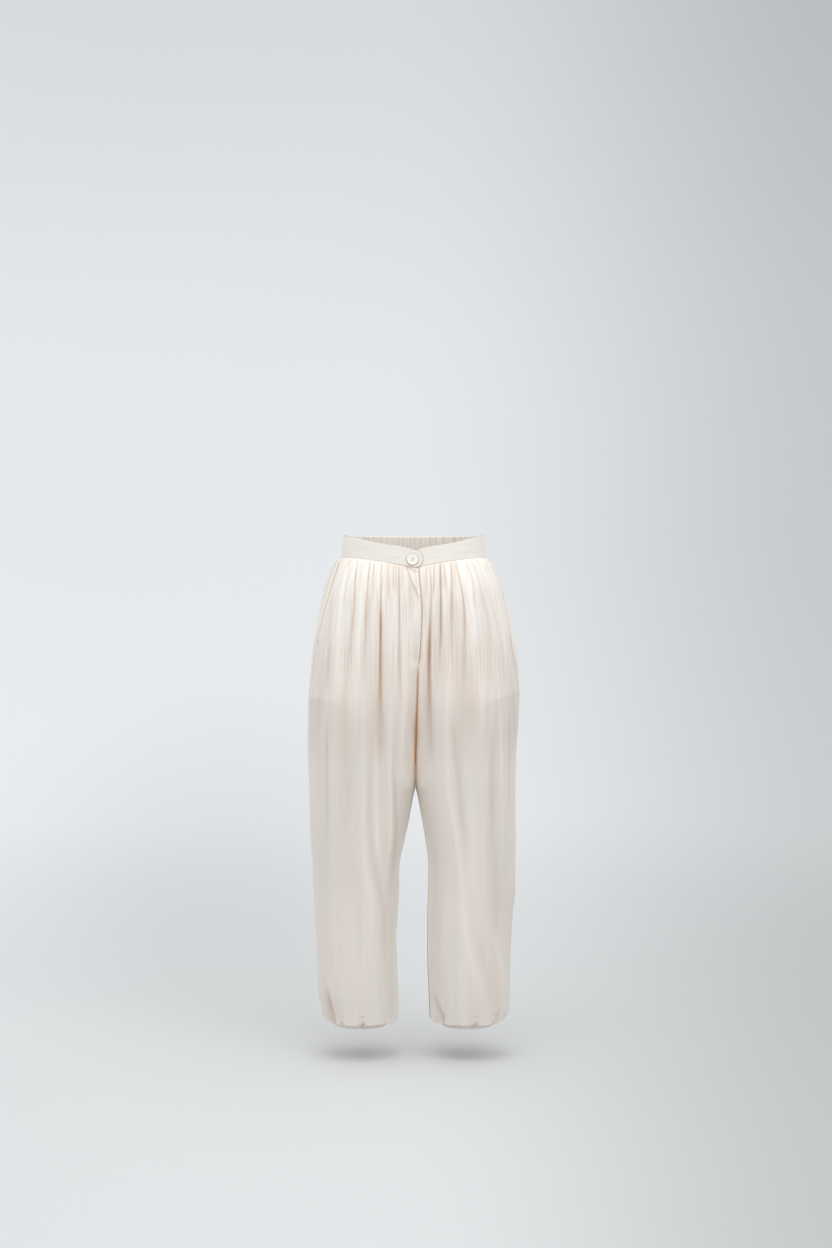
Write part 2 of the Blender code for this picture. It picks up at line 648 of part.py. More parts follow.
def lathe(mesh, profile, steps):
    """Turn a profile that runs from axis to axis round the Z axis."""
    corners = [mesh.verts.new((p.radius * MM, 0.0, p.height * MM)) for p in profile]
    outline = [mesh.edges.new(pair) for pair in zip(corners, corners[1:])]
    bmesh.ops.spin(
        mesh,
        geom=corners + outline,
        axis=(0.0, 0.0, 1.0),
        cent=(0.0, 0.0, 0.0),
        steps=steps,
        angle=2 * math.pi,
        use_merge=True,
    )
    bmesh.ops.remove_doubles(mesh, verts=mesh.verts, dist=1e-6)
    bmesh.ops.recalc_face_normals(mesh, faces=mesh.faces)


def make_button(resin):
    """A four-hole button with a raised rim, sewn flat against the tab."""
    mesh = bpy.data.meshes.new("waist_button")
    turned = bmesh.new()
    lathe(turned, BUTTON_PROFILE, BUTTON_STEPS)
    turned.to_mesh(mesh)
    turned.free()
    mesh.shade_smooth()
    mesh.materials.append(resin)
    button = bpy.data.objects.new("waist_button", mesh)
    bpy.context.scene.collection.objects.link(button)

    holes = bmesh.new()
    for i in range(4):
        angle = math.pi / 4 + i * math.pi / 2
        place = Vector((math.cos(angle), math.sin(angle), 0.0)) * BUTTON_HOLE_SPACING * MM
        made = bmesh.ops.create_cone(
            holes,
            cap_ends=True,
            segments=8,
            radius1=BUTTON_HOLE_RADIUS * MM,
            radius2=BUTTON_HOLE_RADIUS * MM,
            depth=-4 * BUTTON_PROFILE[0].height * MM,
        )
        bmesh.ops.translate(holes, verts=made["verts"], vec=place)
    drill_mesh = bpy.data.meshes.new("button_drill")
    holes.to_mesh(drill_mesh)
    holes.free()
    drill = bpy.data.objects.new("button_drill", drill_mesh)
    bpy.context.scene.collection.objects.link(drill)
    drill.parent = button
    drill.hide_render = True
    drill.display_type = "WIRE"
    cut = button.modifiers.new("Holes", "BOOLEAN")
    cut.operation = "DIFFERENCE"
    cut.object = drill

    overlap = BAND_WALL + SEAM_GAP
    seat = Vector(band_point(BUTTON_PLACE, BUTTON_HEIGHT_SHARE, overlap))
    above = Vector(band_point(BUTTON_PLACE, BUTTON_HEIGHT_SHARE + BUTTON_TILT_SHARE, overlap))
    beside_place = BUTTON_PLACE - BUTTON_TILT_DISTANCE
    beside = Vector(band_point(beside_place, BUTTON_HEIGHT_SHARE, overlap))
    facing = (above - seat).cross(beside - seat).normalized()
    if facing.y > 0:
        facing = -facing
    button.rotation_euler = facing.to_track_quat("Z", "Y").to_euler()
    stand = SEAM_GAP + BUTTON_CROWN_ROOM - BUTTON_PROFILE[0].height
    button.location = (seat + facing * stand) * MM


def main():
    for obj in list(bpy.data.objects):
        bpy.data.objects.remove(obj, do_unlink=True)
    satin = new_material("ivory_satin", (0.80, 0.74, 0.66), 0.42, sheen=0.3)
    lining = new_material("ivory_lining", (0.78, 0.73, 0.67), 0.6)
    resin = new_material("ivory_resin", (0.86, 0.83, 0.77), 0.28)
    make_panels(satin)
    make_front_bands(satin)
    make_back_band(satin)
    make_fly(satin)
    make_pockets(satin)
    make_lining(lining)
    make_casings(satin)
    make_button(resin)


main()
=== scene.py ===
import math

import bmesh
import bpy
import numpy as np
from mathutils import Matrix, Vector


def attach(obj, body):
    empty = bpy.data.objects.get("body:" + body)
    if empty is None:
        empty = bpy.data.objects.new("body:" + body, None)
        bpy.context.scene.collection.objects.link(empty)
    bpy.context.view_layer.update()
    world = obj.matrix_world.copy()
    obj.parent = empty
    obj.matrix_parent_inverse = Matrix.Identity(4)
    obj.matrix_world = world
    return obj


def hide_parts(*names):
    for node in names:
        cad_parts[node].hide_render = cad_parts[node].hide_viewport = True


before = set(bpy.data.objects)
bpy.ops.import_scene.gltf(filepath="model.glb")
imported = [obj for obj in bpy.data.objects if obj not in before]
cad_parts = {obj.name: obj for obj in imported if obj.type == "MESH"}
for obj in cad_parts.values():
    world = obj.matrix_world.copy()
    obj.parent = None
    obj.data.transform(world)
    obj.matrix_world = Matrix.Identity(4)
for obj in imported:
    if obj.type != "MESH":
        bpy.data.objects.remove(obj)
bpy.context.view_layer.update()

print("frame loaded:", len(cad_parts), "nodes")

# Sizes are in millimetres in the wearer's frame: x to the wearer's left, y to the back, z up.
mm = 0.001
right, left = -1, 1
sideNames = {right: "Right", left: "Left"}
cadSide = {right: "right", left: "left"}
draws = np.random.default_rng(41)

# camera, lights and studio, in metres
studio = {
    "cameraPlace": (0.004, -4.0, -0.159), "lens": 57.0,
    "floorHeight": -1.03, "floorRadius": 4.8, "bendRadius": 1.2, "wallHeight": 7.0,
    "floorTurn": 96, "bendSteps": 12, "boardTints": ("#F5F9FC", "#F9FCFF"),
    "worldTint": "#FDFDFC", "worldStrength": 0.88,
    "key": {"place": (1.7, -2.3, 1.1), "size": 2.1, "power": 7.6, "tint": "#FFFDF9"},
    "top": {"place": (0.0, -1.1, 1.55), "size": 1.5, "power": 11.5, "tint": "#FFFEFB"},
    "aim": (0.0, 0.0, -0.42),
}


def linear(hexColour):
    # an sRGB hex colour as the linear numbers a shader takes
    parts = [int(hexColour[i:i + 2], 16) / 255 for i in (1, 3, 5)]
    return tuple(c / 12.92 if c <= 0.04045 else ((c + 0.055) / 1.055) ** 2.4 for c in parts) + (1.0,)


def addNode(tree, kind, inputs=None, out=0, **settings):
    # adds one node, sets or links its inputs, and gives back one of its outputs
    node = tree.nodes.new(kind)
    for name, value in settings.items():
        setattr(node, name, value)
    for socket, value in (inputs or {}).items():
        if isinstance(value, bpy.types.NodeSocket):
            tree.links.new(value, node.inputs[socket])
        else:
            node.inputs[socket].default_value = value
    return node.outputs[out]


def newMaterial(name, **values):
    material = bpy.data.materials.new(name)
    material.use_nodes = True
    shader = material.node_tree.nodes["Principled BSDF"]
    for socket, value in values.items():
        shader.inputs[socket.replace("_", " ")].default_value = value
    return material, material.node_tree, shader


def addLight(name, place, size, power, tint):
    light = bpy.data.lights.new(name, "AREA")
    light.shape = "SQUARE"
    light.size = size
    light.energy = power
    light.color = linear(tint)[:3]
    lamp = bpy.data.objects.new(name, light)
    lamp.location = place
    lamp.rotation_euler = (Vector(studio["aim"]) - Vector(place)).to_track_quat("-Z", "Y").to_euler()
    bpy.context.scene.collection.objects.link(lamp)


def makeStudio():
    scene = bpy.context.scene
    scene.view_settings.view_transform = "Standard"
    camera = bpy.data.objects.new("camera", bpy.data.cameras.new("camera"))
    camera.data.lens = studio["lens"]
    camera.location = studio["cameraPlace"]
    camera.rotation_euler = (math.pi / 2, 0.0, 0.0)
    scene.collection.objects.link(camera)
    scene.camera = camera
    world = bpy.data.worlds.new("studioAir")
    world.use_nodes = True
    air = world.node_tree.nodes["Background"].inputs
    air["Color"].default_value = linear(studio["worldTint"])
    air["Strength"].default_value = studio["worldStrength"]
    scene.world = world
    addLight("keyLight", **studio["key"])
    addLight("topLight", **studio["top"])

    # painted studio board: a pale blue grey with the faintest cloud in it and a matt face
    board, tree, shader = newMaterial("paintedStudioBoard", Roughness=0.85, Specular_IOR_Level=0.2)
    place = addNode(tree, "ShaderNodeTexCoord", out="Object")
    cloud = addNode(tree, "ShaderNodeTexNoise", {"Vector": place, "Scale": 0.8, "Detail": 3.0})
    ramp = addNode(tree, "ShaderNodeValToRGB", {"Fac": cloud})
    for stop, tint in zip(ramp.node.color_ramp.elements, studio["boardTints"]):
        stop.color = linear(tint)
    made = dict(zip("xyz", addNode(tree, "ShaderNodeSeparateXYZ", {0: place}).node.outputs))
    # where each point of the board lies as the photo shows it, across and up
    rows = (
        ("far", "ADD", "y", 4.0), ("across", "DIVIDE", "x", "far"),
        ("height", "ADD", "z", 0.159), ("up", "DIVIDE", "height", "far"),
        ("aside", "ADD", "across", 0.095), ("aside", "DIVIDE", "aside", 0.115), ("aside", "MULTIPLY", "aside", "aside"),
        ("above", "ADD", "up", 0.135), ("above", "DIVIDE", "above", 0.10), ("above", "MULTIPLY", "above", "above"),
        ("away", "ADD", "aside", "above"), ("away", "SQRT", "away", 0.0),
    )
    for name, operation, first, second in rows:
        pair = {0: made.get(first, first), 1: made.get(second, second)}
        made[name] = addNode(tree, "ShaderNodeMath", pair, operation=operation)
    # painted falloff of light: it darkens to the right, to the front of the floor and upwards, with a soft painted
    # shadow low on the left
    paintedShading = 1.0
    shades = (
        ("across", -0.02, 0.24, 1.0, 0.72), ("y", -0.5, 5.2, 0.80, 1.0),
        ("z", 0.8, 3.4, 1.0, 0.86), ("away", 0.1, 1.25, 0.88, 1.0),
    )
    for name, low, high, start, end in shades:
        limits = {"Value": made[name], "From Min": low, "From Max": high, "To Min": start, "To Max": end}
        ramped = addNode(tree, "ShaderNodeMapRange", limits, interpolation_type="SMOOTHSTEP")
        paintedShading = addNode(tree, "ShaderNodeMath", {0: paintedShading, 1: ramped}, operation="MULTIPLY")
    painted = addNode(tree, "ShaderNodeVectorMath", {0: ramp, "Scale": paintedShading}, operation="SCALE")
    tree.links.new(painted, shader.inputs["Base Color"])

    # a round floor whose rim bends up into a wall, so that there is no edge from any side
    radius, bend = studio["floorRadius"], studio["bendRadius"]
    profile = [(0.0, 0.0), (radius, 0.0)]
    for step in range(1, studio["bendSteps"] + 1):
        turn = math.pi / 2 * step / studio["bendSteps"]
        profile.append((radius + bend * math.sin(turn), bend * (1 - math.cos(turn))))
    profile.append((profile[-1][0], studio["wallHeight"]))
    for name, part in (("studioFloor", profile[:2]), ("studioWall", profile[1:])):
        mesh = bmesh.new()
        corners = [mesh.verts.new((r, 0.0, h + studio["floorHeight"])) for r, h in part]
        lines = [mesh.edges.new(pair) for pair in zip(corners, corners[1:])]
        spun = {"axis": (0, 0, 1), "cent": (0, 0, 0), "steps": studio["floorTurn"], "angle": 2 * math.pi}
        bmesh.ops.spin(mesh, geom=corners + lines, **spun)
        bmesh.ops.remove_doubles(mesh, verts=mesh.verts, dist=1e-5)
        bmesh.ops.recalc_face_normals(mesh, faces=mesh.faces)
        data = bpy.data.meshes.new(name)
        mesh.to_mesh(data)
        mesh.free()
        data.shade_smooth()
        data.materials.append(board)
        stage = bpy.data.objects.new(name, data)
        scene.collection.objects.link(stage)
        if name == "studioWall":  # the wall is seen, and keeps no light from the trousers
            stage.visible_diffuse = stage.visible_glossy = stage.visible_shadow = False


makeStudio()
print("studio ready")


# the form that all the cloth follows
form = {
    "seamGap": 0.3, "centreX": 3.0, "ovalPower": 0.88,
    "bandTopSide": 20.0, "bandBottomSide": -23.5,
    "bottomDip": 24.5, "bottomDipPower": 1.8,
    "bandTopInset": 6.0, "bandTopDepth": 90.0, "dipFadeDrop": 150.0,
    "lastDrop": 912.8, "balloonRound": 21.5,
    "ankleX": 108.0, "ankleHalfWidth": 52.0, "ankleHalfDepth": 58.0, "ankleRoom": 1.8,
}

# drop, outer right, outer left, inner right, inner left, depth, middle
sections = (
    (0.0, 149.0, 143.0, -149.0, -143.0, 95.0, 0.0), (8.0, 160.0, 153.0, -157.0, -150.0, 102.0, 0.5),
    (26.0, 170.0, 161.0, -163.0, -155.0, 111.0, 1.0), (63.0, 184.0, 176.0, -166.0, -159.0, 121.0, 3.0),
    (87.0, 190.0, 182.0, -165.0, -158.0, 126.0, 4.0), (135.0, 200.0, 196.0, -157.0, -154.0, 132.0, 7.0),
    (184.0, 208.0, 204.0, -145.0, -142.0, 135.0, 9.0), (232.0, 212.0, 208.0, -119.0, -117.0, 136.0, 10.0),
    (281.0, 216.0, 210.0, -88.0, -86.0, 135.0, 9.0), (330.0, 217.0, 209.0, -58.0, -55.0, 132.0, 8.0),
    (378.0, 218.0, 205.0, -33.0, -30.0, 128.0, 6.0), (427.0, 217.0, 203.0, -13.0, -12.0, 122.0, 4.0),
    (465.5, 215.0, 202.0, 0.0, 0.0, 116.0, 2.0), (524.0, 214.0, 202.0, 12.0, 12.0, 110.0, 1.0),
    (572.0, 212.0, 203.0, 22.0, 20.0, 106.0, 0.0), (621.0, 208.0, 202.0, 32.0, 26.0, 103.0, 0.0),
    (669.0, 206.0, 202.0, 34.0, 26.0, 100.0, 0.0), (718.0, 204.0, 197.0, 36.0, 24.0, 98.0, 0.0),
    (767.0, 200.0, 194.0, 40.0, 24.0, 97.0, 0.0), (815.0, 198.0, 192.0, 38.0, 24.0, 96.0, 0.0),
    (864.0, 198.0, 192.0, 36.0, 26.0, 95.0, 0.0), (912.8, 190.0, 190.0, 34.0, 28.0, 91.0, 0.0),
)
# how the leg turns under: way round, way in to the ankle ring, and how far it has rounded down
balloon = {
    "side": ((0, 0, 0), (0.2, 0.10, 0.44), (0.42, 0.30, 0.80), (0.66, 0.58, 0.99), (0.84, 0.80, 1), (1, 1, 0.86)),
    "front": ((0, 0, 0), (0.2, 0.02, 0.46), (0.42, 0.12, 0.86), (0.66, 0.46, 1), (0.84, 0.76, 1), (1, 1, 0.86)),
    "inner": ((0, 0, 0), (0.2, 0.01, 0.46), (0.42, 0.06, 0.88), (0.66, 0.26, 1), (0.84, 0.62, 1), (1, 1, 0.86)),
}
fineShares = np.linspace(0.0, 1.0, 601)


def readTable(rows, column, places):
    # reads between the rows of a table, smoothly and with no overshoot
    x = np.array([row[0] for row in rows], float)
    y = np.array([row[column] for row in rows], float)
    step = np.diff(x)
    slope = np.diff(y) / step
    tangent = np.concatenate([[slope[0]], np.zeros(len(x) - 2), [slope[-1]]])
    for i in range(1, len(x) - 1):
        if slope[i - 1] * slope[i] > 0:
            before, after = 2 * step[i] + step[i - 1], step[i] + 2 * step[i - 1]
            tangent[i] = (before + after) / (before / slope[i - 1] + after / slope[i])
    places = np.clip(places, x[0], x[-1])
    i = np.clip(np.searchsorted(x, places, side="right") - 1, 0, len(step) - 1)
    t = (places - x[i]) / step[i]
    return (
        (1 + 2 * t) * (1 - t) ** 2 * y[i] + t * (1 - t) ** 2 * step[i] * tangent[i]
        + t * t * (3 - 2 * t) * y[i + 1] + t * t * (t - 1) * step[i] * tangent[i + 1]
    )


def smooth(value, start, end):
    t = np.clip((value - start) / (end - start), 0.0, 1.0)
    return t * t * (3 - 2 * t)


def fall(value, start, end):
    return 1 - smooth(value, start, end)


def betweenFour(table, i, j, u, v):
    # the value at shares u and v of the way between four neighbours of a table
    return (
        table[i, j] * (1 - u) * (1 - v) + table[i + 1, j] * u * (1 - v)
        + table[i, j + 1] * (1 - u) * v + table[i + 1, j + 1] * u * v
    )


class LegForm:
    # every oval of one leg, read by drop and share: share 0 is the side, 1 the front and -1 the back centre
    def __init__(self, side, ovals, dropStep):
        self.side, self.dropStep = side, dropStep
        self.x, self.y, self.lengths = [], [], []
        power = form["ovalPower"]
        for outer, inner, depth, _ in ovals:
            centre, half = (outer + inner) / 2, (outer - inner) / 2
            last = math.pi
            if inner < 0:
                last = math.acos(-((max(centre - form["seamGap"] / 2, 0.0) / half) ** (1 / power)))
            angle = np.linspace(0.0, last, len(fineShares) - 1)
            c = np.cos(angle)
            x = centre + half * np.sign(c) * np.abs(c) ** power
            y = depth * np.abs(np.sin(angle)) ** power
            run = np.concatenate([[0.0], np.cumsum(np.hypot(np.diff(x), np.diff(y)))])
            self.lengths.append(run[-1])
            self.x.append(np.interp(fineShares * run[-1], run, x))
            self.y.append(np.interp(fineShares * run[-1], run, y))
        self.x, self.y, self.lengths = np.array(self.x), np.array(self.y), np.array(self.lengths)
        self.middles = np.array([oval[3] for oval in ovals])
        reach = 3  # neighbours on either side that the outward direction is read from
        wide = np.arange(len(fineShares))
        high, low = np.minimum(wide + reach, wide[-1]), np.maximum(wide - reach, 0)
        dx, dy = self.x[:, high] - self.x[:, low], self.y[:, high] - self.y[:, low]
        run = np.hypot(dx, dy)
        self.outX, self.outY = dy / run, -dx / run

    def read(self, table, drops, shares):
        # bilinear reading of a drop by share table
        last = len(fineShares) - 1
        d = np.clip(np.asarray(drops, float) / self.dropStep, 0, len(self.lengths) - 1.001)
        s = np.clip(np.abs(shares) * last, 0, last - 0.001)
        i, j = d.astype(int), s.astype(int)
        return betweenFour(table, i, j, d - i, s - j)

    def length(self, drops):
        return np.interp(np.asarray(drops, float) / self.dropStep, np.arange(len(self.lengths)), self.lengths)

    def places(self, drops, shares, lifts):
        drops, shares, lifts = np.broadcast_arrays(drops, shares, lifts)
        x = self.read(self.x, drops, shares) + lifts * self.read(self.outX, drops, shares)
        y = self.read(self.y, drops, shares) + lifts * self.read(self.outY, drops, shares)
        x = np.maximum(x, form["seamGap"] / 2)
        y = np.maximum(y, form["seamGap"] / 2)
        middle = np.interp(drops / self.dropStep, np.arange(len(self.middles)), self.middles)
        return form["centreX"] + self.side * x, middle + np.where(shares > 0, -1.0, 1.0) * y


def legOvals(side, drops):
    outer, inner = (1, 3) if side == right else (2, 4)
    return list(zip(*[readTable(sections, column, drops) for column in (outer, inner, 5, 6)]))


dropStep = 2.0
formDrops = np.arange(0.0, form["lastDrop"] + dropStep, dropStep)
legs = {side: LegForm(side, legOvals(side, formDrops), dropStep) for side in (right, left)}


def heights(shares, drops):
    dip = form["bottomDip"] * np.clip(shares, 0.0, 1.0) ** form["bottomDipPower"]
    return form["bandBottomSide"] - drops - dip * fall(drops, 0.0, form["dipFadeDrop"])


def newObject(name, mesh):
    piece = bpy.data.objects.new(name, mesh)
    bpy.context.scene.collection.objects.link(piece)
    return piece


def gridMesh(name, points, uv, material, attributes=None, closedAcross=False, closedDown=False, flip=False, caps=()):
    # a skin from a grid of points in millimetres, with its own map in metres of cloth; a closed
    # direction takes one more map entry than it has points, so that the map has no jump
    rows, columns = points.shape[:2]
    c = np.arange(columns if closedAcross else columns - 1)[None, :]
    r = np.arange(rows if closedDown else rows - 1)[:, None]
    corners = [(r, c), (r, c + 1), (r + 1, c + 1), (r + 1, c)]
    quads = np.stack([(i % rows) * columns + j % columns for i, j in corners], -1).reshape(-1, 4)
    wide = columns + closedAcross
    mapped = np.stack([i * wide + j for i, j in corners], -1).reshape(-1, 4)
    if flip:
        quads, mapped = quads[:, ::-1], mapped[:, ::-1]
    capFaces = [list(face)[::-1] if flip else list(face) for face in caps]
    mesh = bpy.data.meshes.new(name)
    mesh.from_pydata((points.reshape(-1, 3) * mm).tolist(), [], quads.tolist() + capFaces)
    capMap = [0] * sum(len(face) for face in capFaces)
    layer = mesh.uv_layers.new(name="cloth")
    flatUv = np.asarray(uv, float).reshape(-1, 2)
    layer.data.foreach_set("uv", flatUv[np.concatenate([mapped.ravel(), capMap]).astype(int)].ravel())
    for label, values in (attributes or {}).items():
        values = np.broadcast_to(np.asarray(values, float), (rows, columns))
        mesh.attributes.new(label, "FLOAT", "POINT").data.foreach_set("value", values.ravel())
    mesh.materials.append(material)
    mesh.shade_smooth()
    return newObject(name, mesh)


def mapGrid(down, across):
    # the map of a grid: u from the columns and v from the rows, both in millimetres of cloth
    return np.stack(np.broadcast_arrays(np.asarray(across)[None, :], np.asarray(down)[:, None]), -1) * mm


def wayRound(section):
    # how far round a closed section each point lies, with one entry more where it joins
    run = np.concatenate([[0.0], np.cumsum(np.linalg.norm(np.diff(section, axis=0), axis=1))])
    return np.append(run, run[-1] + 1.0)


def endCaps(points):
    # the faces that close the first and the last section of a grid
    columns = points.shape[1]
    last = (len(points) - 1) * columns
    return range(columns), [last + i for i in range(columns)][::-1]


def addWall(piece, thickness):
    wall = piece.modifiers.new("wall", "SOLIDIFY")
    wall.thickness = thickness * mm
    wall.offset = -1.0
    return piece


# the hollow colours are painted shade for folds, seams and valleys, the shade colour is painted shade, the lit colour a
# painted highlight, and the through colour a painted glow
satinLook = {
    "warm": "#EDE2DB", "cool": "#E9E3DE", "pale": "#FDFBF6", "silver": 0.55, "duskTint": "#E6D9CF", "dusk": 0.32,
    "slub": (1.5, 55.0), "broad": (16.0, 340.0), "streak": (2.9, 150.0),
    "threads": (0.6, 4.2),  # coarser than the real 0.15 mm, so that they can be seen
    "slubHeight": 0.14, "threadHeight": 0.04, "streakHeight": 0.45, "liningGain": 0.08, "fleck": 0.55,
    "hollow": "#D8AE82", "hollowShadeLit": "#DCC6B0", "shade": "#EBE5DF", "lit": "#FCF4EA",
    "through": "#FFEFE0",  # painted glow: light that has passed through cloth, painted in so that it leaves the hollows warmer
}
elasticLook = {
    **satinLook, "warm": "#F0E6DE", "cool": "#EDE5DD", "pale": "#FFFDF8", "lit": "#FFFAF0",
    "streakHeight": 0.1, "silver": 0.12, "dusk": 0.06, "fleck": 0.15, "hollow": "#E8CDAE", "hollowShadeLit": "#E6C9A6",
}
bandLook = {
    **satinLook, "warm": "#EBE6DF", "cool": "#E6E4E0", "pale": "#F8F5F0", "silver": 0.2, "dusk": 0.12, "fleck": 0.3,
    "slub": (1.5, 38.0), "broad": (7.0, 120.0), "streak": (3.4, 70.0), "streakHeight": 0.15,
}
# threads coarser than the real 0.25 mm, so that they can be seen
liningLook = {"warm": "#ECE1D4", "cool": "#E6DCD0", "threadPitch": 3.1416, "threadHeight": 0.05}
resinLook = {"body": "#FAF8F1", "vein": "#F3EFE5", "veinWidth": 2.6}
threadLook = {"light": "#F3ECE0", "dark": "#E0D5C6", "plyScale": 2600.0, "plyHeight": 0.05}


def makeSatin(name, look):
    # washed satin: silky floats that gloss softly, thick and thin yarns that run down the cloth
    material, tree, shader = newMaterial(
        name, Roughness=0.42, Sheen_Weight=0.25, Sheen_Roughness=0.4, Specular_IOR_Level=0.5,
        Sheen_Tint=linear("#FFF9F0"),
    )
    cloth = addNode(tree, "ShaderNodeUVMap", uv_map="cloth")
    # noise drawn out along the yarns, its cells' width and length in millimetres
    made = {}
    yarns = (("slub", 3.0, 0.0), ("broad", 2.0, 31.0), ("streak", 2.0, 53.0), ("threads", 1.0, 77.0))
    for label, detail, offset in yarns:
        scale = (1000 / look[label][0], 1000 / look[label][1], 1.0)
        stretch = {"Vector": cloth, "Scale": scale, "Location": (offset, offset, 0.0)}
        mapped = addNode(tree, "ShaderNodeMapping", stretch)
        cells = {"Vector": mapped, "Scale": 1.0, "Detail": detail, "Roughness": 0.55}
        made[label] = addNode(tree, "ShaderNodeTexNoise", cells)
    for label in ("lustre", "shade", "warmth", "hollow", "liningBehind"):
        made[label] = addNode(tree, "ShaderNodeAttribute", out="Fac", attribute_name=label)
    lustre = made["lustre"]
    pairs = {"broad": ("warm", "cool"), "lit": ("lit", "pale"), "depths": ("hollow", "hollowShadeLit")}
    spread = addNode(tree, "ShaderNodeMapRange", {"Value": made["broad"], "From Min": 0.36, "From Max": 0.64})
    colours = {}
    for label, (first, second) in pairs.items():
        between = {0: spread if label == "broad" else lustre, 6: linear(look[first]), 7: linear(look[second])}
        colours[label] = addNode(tree, "ShaderNodeMix", between, 2, data_type="RGBA")
    # the slub flecks and streaks are the yarns' own lines, laid on strongest where the painted sheen is, as painted
    # glints and painted shade; the shade mark paints shade above 0 and a painted highlight below 0, the glow is painted
    # light, and the hollows get painted shade
    # what each tint follows, where it starts and is full, its most, the tint and how it is laid
    tints = (
        ("slub", 0.42, 0.72, look["fleck"], linear(look["pale"]), "MIX"),
        ("streak", 0.50, 0.68, look["silver"], linear(look["pale"]), "MIX"),
        ("streak", 0.48, 0.34, look["dusk"], linear(look["duskTint"]), "MULTIPLY"),
        ("shade", 0.0, -1.0, 0.9, colours["lit"], "MIX"),
        ("shade", 0.0, 1.0, 1.0, linear(look["shade"]), "MULTIPLY"),
        ("warmth", 0.0, 1.0, 1.0, linear(look["through"]), "MIX"),
        ("hollow", 0.0, 1.0, 1.0, colours["depths"], "MULTIPLY"),
    )
    colour = colours["broad"]
    for label, start, full, most, tint, how in tints:
        limits = {"Value": made[label], "From Min": start, "From Max": full, "To Max": most}
        share = addNode(tree, "ShaderNodeMapRange", limits)
        if label in ("slub", "streak"):
            share = addNode(tree, "ShaderNodeMath", {0: lustre, 1: share}, operation="MULTIPLY")
        colour = addNode(tree, "ShaderNodeMix", {0: share, 6: colour, 7: tint}, 2, data_type="RGBA", blend_type=how)
    limits = {"Value": made["liningBehind"], "To Min": 1 - look["liningGain"], "To Max": 1.0}
    gain = addNode(tree, "ShaderNodeMapRange", limits)
    bright = addNode(tree, "ShaderNodeVectorMath", {0: colour, "Scale": gain}, operation="SCALE")
    tree.links.new(bright, shader.inputs["Base Color"])
    rough = addNode(tree, "ShaderNodeMapRange", {"Value": made["slub"], "To Min": 0.50, "To Max": 0.34})
    tree.links.new(rough, shader.inputs["Roughness"])
    fine = addNode(tree, "ShaderNodeBump", {"Height": made["threads"], "Distance": look["threadHeight"] * mm})
    slubs = {"Height": made["slub"], "Distance": look["slubHeight"] * mm, "Normal": fine}
    coarse = addNode(tree, "ShaderNodeBump", slubs)
    streaks = {"Height": made["streak"], "Distance": look["streakHeight"] * mm, "Strength": lustre, "Normal": coarse}
    tree.links.new(addNode(tree, "ShaderNodeBump", streaks), shader.inputs["Normal"])
    return material


def makeLiningCloth():
    # plain woven viscose: matt, its threads over and under at right angles
    look = liningLook
    material, tree, shader = newMaterial("plainWovenViscose", Roughness=0.68, Sheen_Weight=0.1, Specular_IOR_Level=0.3)
    cloth = addNode(tree, "ShaderNodeUVMap", uv_map="cloth")
    # the wave texture turns by 20 radians in a unit
    threads = {"Vector": cloth, "Scale": 2 * math.pi * 1000 / look["threadPitch"] / 20, "Distortion": 0.6}
    warp, weft = (addNode(tree, "ShaderNodeTexWave", threads, "Fac", bands_direction=way) for way in "XY")
    weave = addNode(tree, "ShaderNodeMath", {0: warp, 1: weft}, operation="MAXIMUM")
    cloud = addNode(tree, "ShaderNodeTexNoise", {"Vector": cloth, "Scale": 60.0, "Detail": 4.0})
    between = {0: cloud, 6: linear(look["warm"]), 7: linear(look["cool"])}
    tree.links.new(addNode(tree, "ShaderNodeMix", between, 2, data_type="RGBA"), shader.inputs["Base Color"])
    bump = addNode(tree, "ShaderNodeBump", {"Height": weave, "Distance": look["threadHeight"] * mm})
    tree.links.new(bump, shader.inputs["Normal"])
    return material


def makeResin():
    # cast polyester resin, polished: a little light goes in, with faint pearly veins
    look = resinLook
    material, tree, shader = newMaterial("polishedCastResin", Roughness=0.22, IOR=1.54)
    place = addNode(tree, "ShaderNodeTexCoord", out="Object")
    clouds = {"Vector": place, "Scale": 1000 / look["veinWidth"], "Detail": 3.0, "Distortion": 0.8}
    veins = addNode(tree, "ShaderNodeTexNoise", clouds)
    between = {0: veins, 6: linear(look["body"]), 7: linear(look["vein"])}
    tree.links.new(addNode(tree, "ShaderNodeMix", between, 2, data_type="RGBA"), shader.inputs["Base Color"])
    rough = addNode(tree, "ShaderNodeMapRange", {"Value": veins, "To Min": 0.24, "To Max": 0.40})
    tree.links.new(rough, shader.inputs["Roughness"])
    return material


def makeThread():
    # spun polyester sewing thread: two plies twisted, matt between bright strands
    look = threadLook
    material, tree, shader = newMaterial("spunSewingThread", Roughness=0.6, Sheen_Weight=0.2)
    place = addNode(tree, "ShaderNodeTexCoord", out="Object")
    plies = addNode(tree, "ShaderNodeTexNoise", {"Vector": place, "Scale": look["plyScale"], "Detail": 2.0})
    between = {0: plies, 6: linear(look["light"]), 7: linear(look["dark"])}
    tree.links.new(addNode(tree, "ShaderNodeMix", between, 2, data_type="RGBA"), shader.inputs["Base Color"])
    bump = addNode(tree, "ShaderNodeBump", {"Height": plies, "Distance": look["plyHeight"] * mm})
    tree.links.new(bump, shader.inputs["Normal"])
    return material


satin = makeSatin("washedIvorySatin", satinLook)
bandSatin = makeSatin("washedIvorySatinCutAcross", bandLook)
elasticSatin = makeSatin("washedIvorySatinOnElastic", elasticLook)
liningCloth = makeLiningCloth()
resin = makeResin()
thread = makeThread()
print("materials ready")


